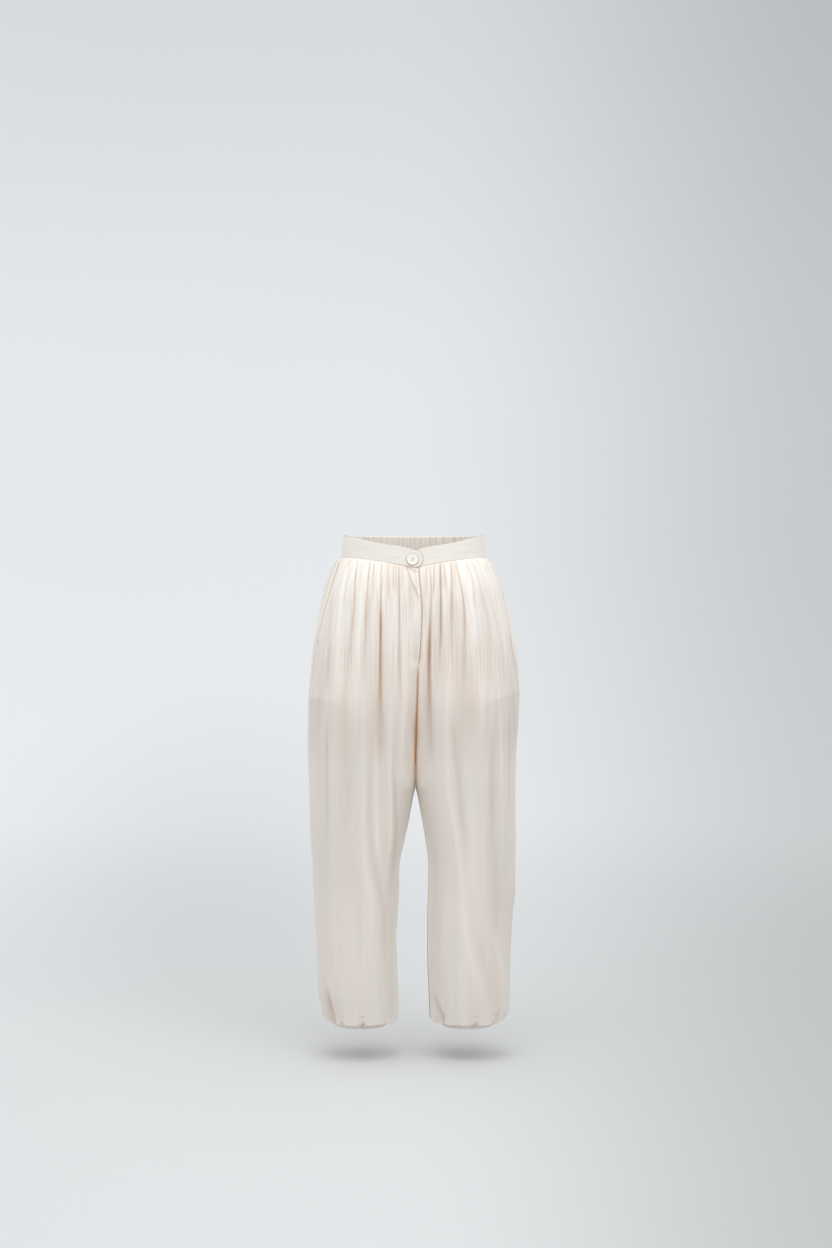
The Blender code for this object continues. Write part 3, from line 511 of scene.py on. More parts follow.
# where the side seam runs, as drop and share of the front
sideSeam = {
    right: (
        (0, 0.222), (8, 0.235), (36, 0.265), (67, 0.268), (103, 0.252), (143, 0.228), (173, 0.20), (300, 0.10),
        (460, 0), (940, 0),
    ),
    left: (
        (0, 0.205), (8, 0.20), (28, 0.190), (60, 0.187), (95, 0.196), (155, 0.215), (175, 0.210), (300, 0.10),
        (460, 0), (940, 0),
    ),
}
# the right front's free edge past the centre seam: the fly's fold, then the seam below it
flyEdge = (
    (0, 5.0), (26, 6.6), (60, 9.4), (105, 11.2), (140, 10.5), (176, 8.8), (200, 7.2), (216, 5.2), (240, 4.6),
    (276, 3.7), (331, 1.8), (388, 0.4), (423, 0), (940, 0),
)
panels = {
    "frontColumnsSide": 44, "frontColumnsMain": 96, "flyColumns": 12, "frontRows": 262,
    "backColumns": 116, "backRows": 190, "balloonRows": 26, "balloonPitch": 3.2, "turning": 3.4,
    "firstDrop": 0.3, "evenRows": 0.55, "crotchDrop": 440.0, "hipDrop": 300.0, "widest": 0.985, "gathers": 54,
    "wall": 0.5, "puff": 3.4, "puffRise": 4.5, "puffFade": (12.0, 260.0), "flyLift": 1.3, "flyLength": 214.0,
    "mouthTop": 6.0, "mouthEnd": 172.0, "underMouth": 9.0, "sideShare": 0.36,
}
# the drops between which each of these comes or goes
spans = {
    "rippleRise": (60.0, 200.0), "rippleFade": (260.0, 420.0), "bulgeFade": (10.0, 90.0),
    "midShadeRise": (130.0, 230.0), "midShadeFade": (340.0, 440.0), "paintedSheenFade": (150.0, 330.0),
    "tabRise": (0.5, 5.0), "tabFade": (12.0, 60.0), "deepening": (60.0, 170.0), "crotchRise": (300.0, 390.0),
    "crotchFade": (480.0, 560.0), "seamRise": (206.0, 244.0), "seamClose": (370.0, 445.0),
    "shadowRise": (290.0, 360.0), "shadowFade": (430.0, 480.0), "glowRise": (330.0, 430.0),
    "glowFade": (460.0, 640.0), "innerRise": (390.0, 480.0), "backSeamFade": (400.0, 470.0),
    "pinchFade": (50.0, 120.0), "bridgeFade": (120.0, 230.0), "hangToLeg": (330.0, 500.0),
}
# where each of these comes or goes across the panel, as shares for the first six and in millimetres,
# down from the waist for the last two and in rows under the leg for the two before them
reaches = {
    "flyCalm": (0.88, 0.93), "sideCalm": (0.0, 0.12), "bulgeRise": (0.16, 0.34), "bulgeFall": (0.62, 0.80),
    "flyLift": (0.955, 1.0), "flyBelow": (0.90, 0.96), "tabRight": (26.0, 62.0), "tabLeft": (8.0, 22.0),
    "crotchCalm": (1.0, 26.0), "sideLevel": (0.0, 12.0), "mouthLift": (2.0, 16.0), "sideLine": (0.2, 2.2),
    "seamLine": (0.6, 4.4), "seamShadow": (2.0, 13.0), "innerLeg": (14.0, 80.0), "backSeam": (0.2, 2.4),
    "backGlow": (2.0, 20.0), "pinchFall": (14.0, 24.0), "pinchRise": (-6.0, -2.0), "pinchShade": (10.0, 26.0),
    "flyLine": (-0.5, 3.6), "flyShadow": (0.0, 9.0), "backLevel": (0.0, 16.0), "bridge": (7.0, 20.0),
    "underLit": (3, 10), "underDark": (2, 12), "waistCalm": (-1.0, 2.6), "waistTuck": (0.0, 2.0),
}
# pitch and seed of the ripples down each panel, and their shares of the relief and of the light
panelRipples = ((6.5, 90, 0.25, 0.2), (13.0, 0, 0.7, 0.45), (29.0, 50, 1.2, 0.35))
# how far the four outer columns at the side turn in at the seam and roll out at the pocket's mouth
sideTurns = ((-0.9, -0.6), (-0.25, 0.8), (-0.05, 1.25), (0.0, 1.3))
# how far the columns at the centre sink to the seam below the fly
centreSinks = {"Front": ((-1, -7.0), (-2, -1.6), (-3, -0.3)), "Back": ((0, -1.6), (1, -0.4))}
flyFold = {"inside": (0.15, 1.2, 3.6, 7.0), "allowance": (-0.5, -2.2, -4.6, -7.6), "underlap": 7.0}
# how far the hang of the gathers flares with the hip: share at the waist, flare right, flare left
flare = (
    (0, 1, 1), (0.2, 1, 1), (0.36, 0.30, 0.86), (0.43, 0.02, 0.74), (0.50, 0, 0.60), (0.60, 0, 0.33), (0.66, 0, 0.05),
    (0.75, 0, 0), (1, 0, 0),
)

# folds of the fronts: path of drop and way out from the centre, depth, width at the top and at the
# end, the drops where it starts, begins to fade and ends; a lit ridge has a depth below 0
foldRows = {
    right: (
        (((0, 124.7), (12, 135.5), (24, 139.9), (70, 149.6)), 0.9, 2.4, 4.0, 0, 20, 80),
        (((0, 117.1), (12, 126.6), (36, 132.5), (96, 139.1), (150, 142.2)), 1.0, 2.4, 5.0, 0, 40, 150),
        (((0, 110.9), (7, 115.1), (111, 122.2), (168, 127.8), (267, 132.4)), 3.4, 1.6, 6.0, 0, 120, 270),
        (((0, 99.1), (12, 106.3), (24, 108.3), (70, 109.0)), 1.2, 1.8, 4.0, 0, 25, 90),
        (((0, 87.7), (4, 89.6), (64, 94.8), (126, 97.4), (252, 100.2)), 3.6, 1.6, 5.0, 0, 100, 250),
        (((0, 78.3), (12, 83.0), (90, 85.1)), 2.6, 1.7, 3.4, 0, 30, 100),
        (((0, 64.8), (4, 67.0), (252, 69.5)), 3.6, 1.6, 4.0, 0, 100, 200),
        (((80, 68.0), (252, 69.5), (481, 66.2), (581, 66.7)), 6.6, 2.2, 7.5, 74, 230, 470),
        (((0, 52.3), (12, 54.5), (81, 53.8)), 2.9, 1.5, 3.0, 0, 50, 110),
        (((0, 41.6), (12, 43.3), (60, 44.4)), 2.6, 1.3, 2.4, 0, 30, 80),
        (((0, 37.6), (12, 38.8), (70, 38.6)), 2.8, 1.3, 2.4, 0, 40, 90),
        (((0, 33.0), (60, 32.6), (140, 31.2), (224, 31.8), (331, 22.0)), 3.8, 1.6, 6.0, 0, 170, 340),
        (((0, 25.4), (43, 26.4)), 2.2, 1.4, 2.6, 0, 25, 60),
        (((0, 18.8), (67, -5.8)), 3.2, 2.2, 3.0, 0, 40, 85),
        (((0, 13.9), (67, -11.6)), -1.8, 3.0, 3.5, 0, 35, 85),
        # broad soft folds and the lit ridges between them
        (((0, 127.5), (12, 138.0), (281, 153.6)), -2.4, 7.0, 9.0, 0, 230, 300),
        (((24, 154.7), (111, 167.3), (169, 171.3), (253, 173.8)), 1.8, 6.0, 8.0, 20, 240, 300),
        (((10, 105.2), (26, 107.7), (110, 107.3), (182, 114.2), (252, 117.0)), -2.0, 4.5, 6.0, 10, 170, 290),
        (((60, 79.5), (168, 86.2), (252, 86.2)), -1.6, 4.0, 5.0, 60, 180, 290),
        (((108, 17.8), (280, 20.9), (365, 25.5), (454, 26.2)), -1.6, 5.0, 6.0, 90, 380, 480),
        (((224, 51.3), (539, 48.6), (597, 53.1), (648, 60.1)), -2.0, 4.5, 5.0, 220, 560, 660),
        (((322, 41.9), (393, 43.7), (541, 36.9), (616, 42.3), (670, 49.2), (711, 57.5)), 2.2, 5.0, 8.0, 330, 600, 720),
        (((336, 79.4), (452, 75.8), (537, 76.1), (647, 64.2)), -2.2, 4.0, 4.2, 320, 560, 660),
        (((308, 82.1), (364, 85.0), (537, 89.9), (594, 84.6), (725, 62.0), (866, 62.0)), 1.8, 5.0, 12.0, 290, 700, 880),
        (((280, 98.8), (364, 101.8), (537, 102.4), (594, 101.2), (694, 87.6), (764, 90.5), (849, 95.9)),
         -1.4, 6.0, 10.0, 270, 700, 880),
        (((296, 176.6), (454, 175.1), (539, 175.3), (590, 176.8)), 1.2, 2.4, 2.6, 290, 450, 600),
        (((337, 142.2), (452, 142.5), (594, 145.7)), 1.0, 16.0, 18.0, 300, 560, 760),
        (((850, 177.0), (876, 173.0), (905, 166.0), (923, 158.9)), 2.6, 3.6, 4.4, 850, 930, 940),
        (((850, 180.0), (880, 175.0), (910, 170.0), (925, 165.0)), 2.8, 7.0, 9.0, 846, 920, 945),
    ),
    left: (
        (((0, 123.7), (12, 133.7), (48, 143.8), (80, 148.7)), 0.8, 2.4, 4.0, 0, 20, 90),
        (((0, 115.1), (12, 124.7), (48, 134.9), (120, 146.7), (160, 150.7)), 0.8, 2.4, 5.0, 0, 40, 150),
        (((0, 103.8), (12, 113.0), (48, 124.1), (130, 137.3)), 0.9, 1.9, 4.0, 0, 30, 130),
        (((0, 94.4), (12, 102.1), (47, 112.1), (110, 118.4)), 1.5, 1.9, 4.6, 0, 40, 120),
        (((0, 79.0), (30, 85.0), (80, 93.8), (140, 97.0), (266, 95.5)), 4.4, 1.7, 6.0, 0, 110, 290),
        (((0, 72.1), (12, 76.6), (90, 80.3)), 1.6, 1.6, 3.4, 0, 20, 80),
        (((0, 67.0), (8, 70.7), (46, 71.8), (224, 70.3)), 4.6, 1.9, 6.0, 0, 80, 230),
        (((0, 55.6), (11, 56.6), (77, 61.9)), 2.6, 1.5, 3.0, 0, 30, 95),
        (((0, 49.0), (125, 49.6), (252, 45.6)), 6.0, 1.6, 5.5, 0, 120, 280),
        (((0, 37.0), (58, 35.3)), 3.0, 1.7, 3.0, 0, 40, 90),
        (((0, 27.0), (66, 31.3), (117, 29.5), (169, 27.5), (218, 26.6)), 3.4, 1.7, 4.5, 0, 140, 240),
        (((120, 29.4), (169, 27.5), (218, 26.6), (316, 26.6), (380, 28.5), (451, 31.0)), 6.8, 3.0, 7.0, 110, 260, 450),
        (((0, 20.7), (79, 20.5)), 1.8, 1.6, 3.0, 0, 30, 95),
        # broad soft folds and the lit ridges between them
        (((10, 105.0), (29, 107.1), (80, 109.6), (140, 116.6)), -2.0, 4.5, 5.5, 10, 100, 200),
        (((52, 129.7), (197, 146.2)), 0.9, 12.0, 14.0, 30, 150, 260),
        (((140, 63.3), (336, 60.8), (421, 62.6), (466, 62.5), (502, 69.9), (651, 91.0), (707, 93.7), (764, 102.0),
          (877, 130.0)), -1.7, 4.5, 11.0, 130, 800, 905),
        (((294, 67.6), (393, 79.0), (449, 84.6), (480, 86.9), (579, 99.1)), 2.0, 6.0, 9.0, 280, 500, 640),
        (((168, 117.9), (365, 115.1), (565, 115.8), (679, 121.6)), -1.1, 12.0, 16.0, 150, 640, 780),
        (((283, 148.7), (453, 151.8), (538, 152.0), (609, 157.8), (709, 160.9)), 1.9, 9.0, 13.0, 283, 640, 800),
        (((169, 160.7), (281, 166.0), (454, 171.8)), -1.6, 5.0, 4.5, 160, 420, 520),
        (((285, 186.4), (456, 186.7)), 1.5, 5.0, 5.0, 285, 420, 560),
        (((735, 118.8), (807, 135.5), (864, 146.8)), 1.1, 9.0, 11.0, 720, 850, 900),
        (((760, 155.2), (825, 172.6)), -1.2, 4.5, 5.0, 730, 820, 870),
        (((870, 35.5), (894, 43.8), (925, 60.8)), 2.6, 3.4, 4.2, 865, 930, 940),
        (((875, 33.5), (900, 42.0), (925, 54.0)), 2.0, 6.0, 7.0, 868, 920, 945),
        (((895, 172.0), (923, 160.0)), 1.8, 5.0, 6.5, 890, 925, 945),
    ),
}
# each back has long leg folds, by drop and share, besides the more even gathers of its elastic
backLegFolds = (
    (((150, -.90), (520, -.80)), 4.0, 9.0, 11.0, 150, 350, 560),
    (((430, -.52), (760, -.64)), 3.0, 9.0, 11.0, 430, 600, 800),
    (((420, -.70), (560, -.62), (720, -.50)), -1.4, 10.0, 13.0, 420, 600, 780),
    (((300, -.33), (520, -.26), (760, -.30)), 2.6, 9.0, 12.0, 300, 560, 820),
)
# notches where the hem's elastic draws the cloth in: share and depth
hemNotches = {
    right: ((0.37, 3.4), (0.53, 5.0), (0.29, 2.2), (0.72, 1.6), (0.86, 2.4)),
    left: ((0.20, 3.2), (0.31, 3.4), (0.46, 5.4), (0.60, 1.8), (0.80, 3.0)),
}


# the ranges that chance draws the folds of the backs from, and the small gathers of all panels
backFold = {
    "count": 15, "first": -0.03, "reachAll": 0.94, "wander": 0.012, "depth": (2.2, 5.8), "reach": (90, 300),
    "lean": (0.98, 1.0), "widths": (2.3, 5.5), "fade": 0.35,
}
smallGather = {
    "place": (0.1, 0.9), "reach": (18, 95), "drift": (0.0, 0.05), "depth": (0.6, 1.9), "width": (0.9, 1.5),
    "endWidth": 2.8, "fade": 0.3,
}


def backFolds():
    folds = list(backLegFolds)
    for i in range(backFold["count"]):
        share = backFold["first"] - backFold["reachAll"] * (i + 0.5) / backFold["count"]
        share = share + draws.uniform(-backFold["wander"], backFold["wander"])
        depth, reach = draws.uniform(*backFold["depth"]), draws.uniform(*backFold["reach"])
        path = ((0, share), (reach, share * draws.uniform(*backFold["lean"])))
        folds.append((path, depth, *backFold["widths"], 0, reach * backFold["fade"], reach))
    return tuple(folds)


def sharesAt(leg, drops, places):
    # the shares of the front that lie so far out from the centre; below 0 is past the centre seam
    rows = [leg.read(leg.x, np.full(len(fineShares), drop), fineShares)[::-1] for drop in drops]
    inside = np.array([1 - np.interp(place, row, fineShares) for place, row in zip(places, rows)])
    return np.where(places < 0, 1 - places / leg.length(drops), inside)


# a fold's rise from its start, its profile, and its painted shade: narrow ones as a painted line of shade, broad ones
# as a broad painted shade
foldLook = {
    "waistRise": 5.0, "laterRise": 0.6, "power": 1.35, "press": 0.8, "broad": (3.2, 7.0),
    "lineLeast": 0.24, "lineDepth": 8.0, "lineShallow": 1.2, "linePower": 2.4,
    "shadeDepth": 3.0, "shadeMost": 1.6, "narrowShade": 0.3,
}


def foldRelief(folds, shares, drops, lengths, leg=None):
    # how far the folds take the cloth in, how much painted shade the narrow ones leave in their hollows, from 0 to
    # about 1, and the broad ones' painted shade, above 0, or painted highlight, below 0
    relief = np.zeros(np.broadcast(shares, drops).shape)
    hollow, shade = np.zeros(relief.shape), np.zeros(relief.shape)
    for path, depth, topWidth, endWidth, start, fade, stop in folds:
        place = readTable(path, 1, drops)
        if leg:
            place = sharesAt(leg, drops[:, 0], place[:, 0])[:, None]
        rise = foldLook["waistRise"] if start == 0 else (fade - start) * foldLook["laterRise"]
        strength = smooth(drops, start, start + rise)
        strength = strength * fall(drops, fade, stop)
        width = topWidth + (endWidth - topWidth) * smooth(drops, start, stop)
        away = (shares - place) * lengths / width
        profile = 1 / (1 + away * away) ** foldLook["power"]
        broad = smooth(width, *foldLook["broad"])
        relief -= (foldLook["press"] if depth > 0 else 1.0) * depth * strength * profile
        line = min(foldLook["lineLeast"] + depth / foldLook["lineDepth"], 1.0)
        line = line * min(depth / foldLook["lineShallow"], 1.0) if depth > 0 else 0.0
        hollow += line * strength * profile ** foldLook["linePower"] * (1 - broad)
        spread = np.maximum(broad, foldLook["narrowShade"] if depth > 0 else 1.0)
        shade += np.clip(depth / foldLook["shadeDepth"], -1.0, foldLook["shadeMost"]) * strength * profile * spread
    return relief, hollow, shade


def smallGathers(shares, drops, lengths, first, last, count):
    # the short gathers between the seen ones, drawn by chance with a fixed seed
    folds = []
    for i in range(count):
        share = first + (last - first) * (i + draws.uniform(*smallGather["place"])) / count
        reach = draws.uniform(*smallGather["reach"])
        drift = draws.uniform(*smallGather["drift"]) * np.sign(share) * (1 - abs(share))
        depth, width = draws.uniform(*smallGather["depth"]), draws.uniform(*smallGather["width"])
        path = ((0, share), (reach, share + drift))
        folds.append((path, depth, width, smallGather["endWidth"], 0, reach * smallGather["fade"], reach))
    return foldRelief(folds, shares, drops, lengths)


def ripples(columns, drops, pitch, seed):
    # long soft ripples down the cloth: smooth chance heights across, changing slowly along
    generator = np.random.default_rng(seed)
    acrossCount = int(columns.max() / pitch) + 4
    heightsAlong = generator.uniform(-1, 1, (8, acrossCount))
    across = columns / pitch
    along = np.clip(drops / 150.0, 0, 6.99)
    i, j = along.astype(int), np.clip(across.astype(int), 0, acrossCount - 2)
    u, v = along - i, across - j
    u, v = u * u * (3 - 2 * u), v * v * (3 - 2 * v)
    return betweenFour(heightsAlong, *np.broadcast_arrays(i, j, u, v))


def rowDrops(count):
    # rows lie closer below the waist, where the gathers are finest
    t = np.linspace(0.0, 1.0, count)
    first, even = panels["firstDrop"], panels["evenRows"]
    return first + (form["lastDrop"] - first) * (even * t + (1 - even) * t * t)


def frontShares(side, drops, columns):
    # columns of the front: the hang of the gathers, which fall straight from the waist
    leg = legs[side]
    seam = readTable(sideSeam[side], 1, drops)
    main = columns >= 0
    topShares = panels["sideShare"] + (1 - panels["sideShare"]) * columns[main]
    flares = readTable(flare, 1 if side == right else 2, topShares)
    waist, atCrotch = (
        leg.read(leg.x, np.full(len(fineShares), drop), fineShares) for drop in (0.0, panels["crotchDrop"])
    )
    xHang = np.interp(topShares, fineShares, waist)
    xCrotch = np.minimum(xHang + flares * (atCrotch[0] - waist[0]), atCrotch[0] * panels["widest"])
    waySplit = (xCrotch - atCrotch[-1]) / (atCrotch[0] - atCrotch[-1])
    shares = np.zeros((len(drops), len(columns)))
    for r, drop in enumerate(drops):
        row = leg.read(leg.x, np.full(len(fineShares), drop), fineShares)
        hang = np.minimum(xHang + flares * (row[0] - waist[0]), row[0] * panels["widest"])
        leggy = row[-1] + (row[0] - row[-1]) * waySplit
        blend = smooth(drop, *spans["hangToLeg"])
        shares[r, main] = 1 - np.interp(hang * (1 - blend) + leggy * blend, row[::-1], fineShares)
        first = shares[r, main][0]
        shares[r, ~main] = first + columns[~main] * (first - seam[r])
        shares[r, -1] = 1.0
    return shares


# where the lining's hem shows through the cloth: share, drop on the right and on the left
hemShadow = (
    (0.0, 281.0, 269.0), (0.2, 283.0, 272.0), (0.4, 286.0, 281.0), (0.5, 296.0, 288.0), (0.65, 307.0, 297.0),
    (1.0, 330.0, 322.0),
)


def liningBehind(side, shares, drops):
    # 1 where the lining backs the cloth, so that it looks paler, and 0 below the lining's hem
    size = np.abs(shares)
    places, *hems = zip(*hemShadow)
    hem = np.interp(size, places, hems[0] if side == right else hems[1])
    soft = np.interp(size, (0.0, 0.45, 0.65, 1.0), (2.0, 2.5, 45.0, 120.0))
    return fall(drops, hem - soft, hem + soft)


hemPucker = {
    "first": 0.03, "pitch": (0.035, 0.075), "depth": (0.6, 1.7), "backGain": 1.8,
    "halfRound": 250.0, "width": 2.4, "widening": 0.5, "power": 1.5,
}


def hemPuckers(side, face, shares):
    notches = list(hemNotches[side]) if face == "Front" else []
    share = hemPucker["first"]
    while share < 1.0:
        depth = draws.uniform(*hemPucker["depth"]) * (1.0 if face == "Front" else hemPucker["backGain"])
        notches.append((share, depth))
        share += draws.uniform(*hemPucker["pitch"])
    total = np.zeros(shares.shape)
    for place, depth in notches:
        away = (np.abs(shares) - place) * hemPucker["halfRound"]
        away = away / (hemPucker["width"] + hemPucker["widening"] * depth)
        total -= depth / (1 + away * away) ** hemPucker["power"]
    return total


# the ring's gap at each seam, where the front's and the inside's way of turning under take over, and the puckers
ring = {"gap": 0.2, "seam": 0.03, "front": (0.35, 0.85), "inner": (0.3, 0.9), "ahead": 0.06, "power": 0.8, "sink": 0.75}


def turnUnder(side, face, shares, x, y):
    # the leg turns under and in to the ankle ring: its rows of points, and how far the elastic puckers each column
    angle = shares * math.pi
    ringX = side * (form["ankleX"] + (form["ankleHalfWidth"] + form["ankleRoom"]) * np.cos(angle))
    gap = np.where(shares > 0, -ring["gap"], ring["gap"])
    ringY = -(form["ankleHalfDepth"] + form["ankleRoom"]) * np.sin(angle)
    ringY = ringY + gap * (np.abs(shares) > 1 - ring["seam"]) + gap * (np.abs(shares) < ring["seam"])
    puckers = hemPuckers(side, face, shares)
    facing, inmost = smooth(np.abs(np.sin(angle)), *ring["front"]), smooth(-np.cos(angle), *ring["inner"])
    steps = np.linspace(0.0, 1.0, panels["balloonRows"] + 1)[1:, None]
    levels = []
    for column in (1, 2):
        atSide, atFront, atInner = (readTable(balloon[where], column, steps) for where in ("side", "front", "inner"))
        levels.append((atSide + (atFront - atSide) * facing) * (1 - inmost) + atInner * inmost)
    tuck, drop = levels
    swell = puckers * np.sin(math.pi * np.minimum(tuck + ring["ahead"], 1.0)) ** ring["power"]
    inward = tuck - swell * (1 - tuck) / np.hypot(x - ringX, y - ringY)
    z = form["bandBottomSide"] - form["lastDrop"] - form["balloonRound"] * drop - ring["sink"] * swell
    return np.stack([x + (ringX - x) * inward, y + (ringY - y) * inward, z], -1), puckers


def makePanel(side, face):
    leg, other = legs[side], legs[-side]
    front = face == "Front"
    fly = front and side == right
    drops = rowDrops(panels["frontRows"] if front else panels["backRows"])
    down = drops[:, None]
    lengths = leg.length(drops)[:, None]
    seamShare = readTable(sideSeam[side], 1, drops)[:, None]
    come = {name: smooth(down, *pair) for name, pair in spans.items()}
    go = {name: 1 - value for name, value in come.items()}
    if front:
        columns = np.concatenate([
            np.linspace(-1.0, 0.0, panels["frontColumnsSide"], endpoint=False),
            np.linspace(0.0, 1.0, panels["frontColumnsMain"]),
        ])
        shares = frontShares(side, drops, columns)
    else:
        shares = -1.0 + (1.0 + seamShare) * np.linspace(0.0, 1.0, panels["backColumns"])
    mouth = smooth(down, panels["mouthTop"] - 4, panels["mouthTop"] + 8)
    mouth = mouth * fall(down, panels["mouthEnd"] - 8, panels["mouthEnd"] + 4)

    # past the centre seam the right front carries on over the left leg's oval, as the fly
    extra = readTable(flyEdge, 1, drops)[:, None]
    overlap = fall(down, panels["flyLength"] - 12, panels["flyLength"] + 8)
    if fly:
        ways = np.linspace(0.0, 1.0, panels["flyColumns"] + 1)[1:]
        past = np.concatenate([extra * ways, extra - np.array(flyFold["inside"]) * overlap], 1)
        shares = np.concatenate([shares, 1 + past / lengths], 1)
    elif front:  # the left front starts under the fly, then beside the seam
        start = np.maximum(extra - flyFold["underlap"] * overlap, 0.0)
        limit = 1 - (start + 0.25) / lengths
        shares = np.minimum(shares, limit - (1 - np.arange(1, shares.shape[1] + 1) / shares.shape[1]) * 0.01)

    # folds, small gathers and ripples, with painted shade in their hollows and painted highlights on their crests
    relief = panels["puff"] * smooth(down, 0.0, panels["puffRise"]) * fall(down, *panels["puffFade"])
    relief = relief * (1 - 0.7 * smooth(shares, *reaches["flyCalm"]))
    relief = relief * smooth(np.abs(shares - 0.04), *reaches["sideCalm"])
    folds = foldRows[side] if front else backFolds()
    pressed, hollow, shade = foldRelief(folds, shares, down, lengths, leg if front else None)
    first, last = (0.24, 0.97) if front else (-0.97, 0.17)
    small, smallHollowShade, _ = smallGathers(shares, down, lengths, first, last, panels["gathers"])
    relief = relief + pressed + small
    hollow = hollow + 0.6 * smallHollowShade
    hip = drops.searchsorted(panels["hipDrop"])
    arc = np.cumsum(np.concatenate([[0.0], np.abs(np.diff(shares[hip]))])) * lengths[hip]
    seed = 7 + 3 * side + (11 if front else 0)
    rippleDepth = 0.3 + 0.4 * come["rippleRise"] * go["rippleFade"]
    for pitch, more, raised, lit in panelRipples:
        waves = rippleDepth * ripples(arc[None, :], down, pitch, seed + more)
        relief = relief + raised * waves
        shade = shade - lit * waves

    # under the band the bulging cloth faces the light and gets a painted highlight and the most painted sheen; lower
    # down lies a band of painted shade, and far below it hangs smooth and plain, with little painted sheen
    bulge = smooth(shares, *reaches["bulgeRise"]) * (1 - 0.5 * smooth(shares, *reaches["bulgeFall"]))
    shade = shade - 1.1 * go["bulgeFade"] * bulge
    shade = shade + 0.45 * come["midShadeRise"] * go["midShadeFade"]
    lustre = 1 - 0.85 * come["paintedSheenFade"]
    inside = (1 - shares) * lengths
    if fly:  # a painted highlight on the dimple where the tack holds the fly's foot
        shade = shade - 1.5 * np.exp(-((down - panels["flyLength"]) / 6.0) ** 2 - ((inside - 3.0) / 5.0) ** 2)
    if front:
        tabSide = fall(inside, *reaches["tabRight"]) if fly else fall(inside, *reaches["tabLeft"])
        relief = relief + 2.0 * tabSide * come["tabRise"] * go["tabFade"]
    lowest = -4.2 - 5.0 * come["deepening"]
    relief = np.where(relief < lowest, lowest + (relief - lowest) * 0.3, relief)
    relief = relief * smooth(down, *reaches["waistCalm"]) - 0.3 * fall(down, *reaches["waistTuck"])
    crotch = come["crotchRise"] * go["crotchFade"]
    relief = relief * (1 - crotch * fall((1 - np.abs(shares)) * lengths, *reaches["crotchCalm"]))
    # below the pocket both edges of the side seam lie level
    toSeam = np.abs(shares - seamShare) * lengths
    relief = relief * (mouth + (1 - mouth) * smooth(toSeam, *reaches["sideLevel"]))

    # edges: turned in at a seam, rolled over at the pocket's mouth
    for k, (turn, roll) in enumerate(sideTurns):
        if front:
            place = (seamShare + (0.15 + 0.35 * k) / lengths)[:, 0]
            shares[:, k] = np.maximum(shares[:, k], place) if k else place
            relief[:, k] += (turn * (1 - mouth) + roll * mouth)[:, 0]
        else:
            relief[:, -1 - k] += (turn * (1 - mouth))[:, 0]
    if front:
        lifted = 1.2 * mouth * fall((shares - seamShare) * lengths, *reaches["mouthLift"])
        lifted[:, :len(sideTurns)] = 0.0
        relief = relief + lifted
    else:  # the back carries on under the mouth, a little lower
        near = smooth(shares, seamShare - 0.12, seamShare)
        shares = shares + panels["underMouth"] * mouth / lengths * near ** 3
        relief = relief - 1.5 * mouth * near
    sunk = 0.12 + 0.88 * go["crotchRise"]
    if fly:
        relief = relief + panels["flyLift"] * overlap * smooth(shares, *reaches["flyLift"])
        allowance = np.array(flyFold["allowance"]) * (1 - overlap) * sunk
        relief[:, -4:] = relief[:, -5:-4] + allowance - 0.9 * overlap
    elif front:
        flyBelow = overlap * smooth(shares, *reaches["flyBelow"])
        relief = relief * (1 - 0.6 * flyBelow) - 0.5 * flyBelow
        sunk = (1 - overlap) * sunk
    if not fly:
        for column, depth in centreSinks[face]:
            relief[:, column] += (depth * sunk)[:, 0]

    # light is lost beside the fly's edge, at the seams and under the pocket mouths
    inside = (1 - shares) * lengths
    toCentre = (1 - np.abs(shares)) * lengths
    toMouth = (shares - seamShare) * lengths * (1 if front else -1)
    hollow = hollow + 0.5 * (1 - mouth) * fall(toMouth, *reaches["sideLine"])
    if front:
        fromCentre = inside + (extra if fly else -start)
        line = come["seamRise"] * (1.0 - 0.9 * come["seamClose"])
        hollow = hollow + line * go["crotchFade"] * fall(fromCentre, *reaches["seamLine"])
        shadow = come["shadowRise"] * go["shadowFade"]
        hollow = hollow + 0.4 * shadow * fall(fromCentre, *reaches["seamShadow"])
        # a warm painted glow at the crotch in place of light through the cloth, and painted light with more painted
        # sheen along the inner legs
        warmth = come["glowRise"] * (1 - 0.6 * come["glowFade"])
        warmth = warmth * fall(fromCentre, 2.0, 26.0 if fly else 34.0)
        inner = come["innerRise"] * fall(fromCentre, *reaches["innerLeg"])
        shade = shade - 1.3 * inner
        lustre = lustre + 0.7 * inner * (1 - lustre)
    else:
        hollow = hollow + mouth * 1.3 * fall(toMouth, 0.5, 6.5 if side == right else 4.5)
        hollow = hollow + 0.5 * fall(toCentre, *reaches["backSeam"]) * go["backSeamFade"]
        # the back's crotch gets the painted glow too
        warmth = 0.6 * crotch * fall(toCentre, *reaches["backGlow"])
    if fly:  # the band's tab pinches the cloth in a short crease that slants down to the fly, painted as a line of shade with painted shade round it
        near = fall(inside, *reaches["pinchFall"]) * smooth(inside, *reaches["pinchRise"])
        hollow = hollow + 0.8 * near * np.exp(-((down - 7.8 + 0.3 * inside) / 1.8) ** 2)
        shade = shade + 0.6 * fall(inside, *reaches["pinchShade"]) * go["pinchFade"]
    elif front:
        fromFly = inside - extra
        flyDark = 1.3 * fall(fromFly, *reaches["flyLine"]) + 0.35 * fall(fromFly, *reaches["flyShadow"])
        hollow = hollow + overlap * flyDark

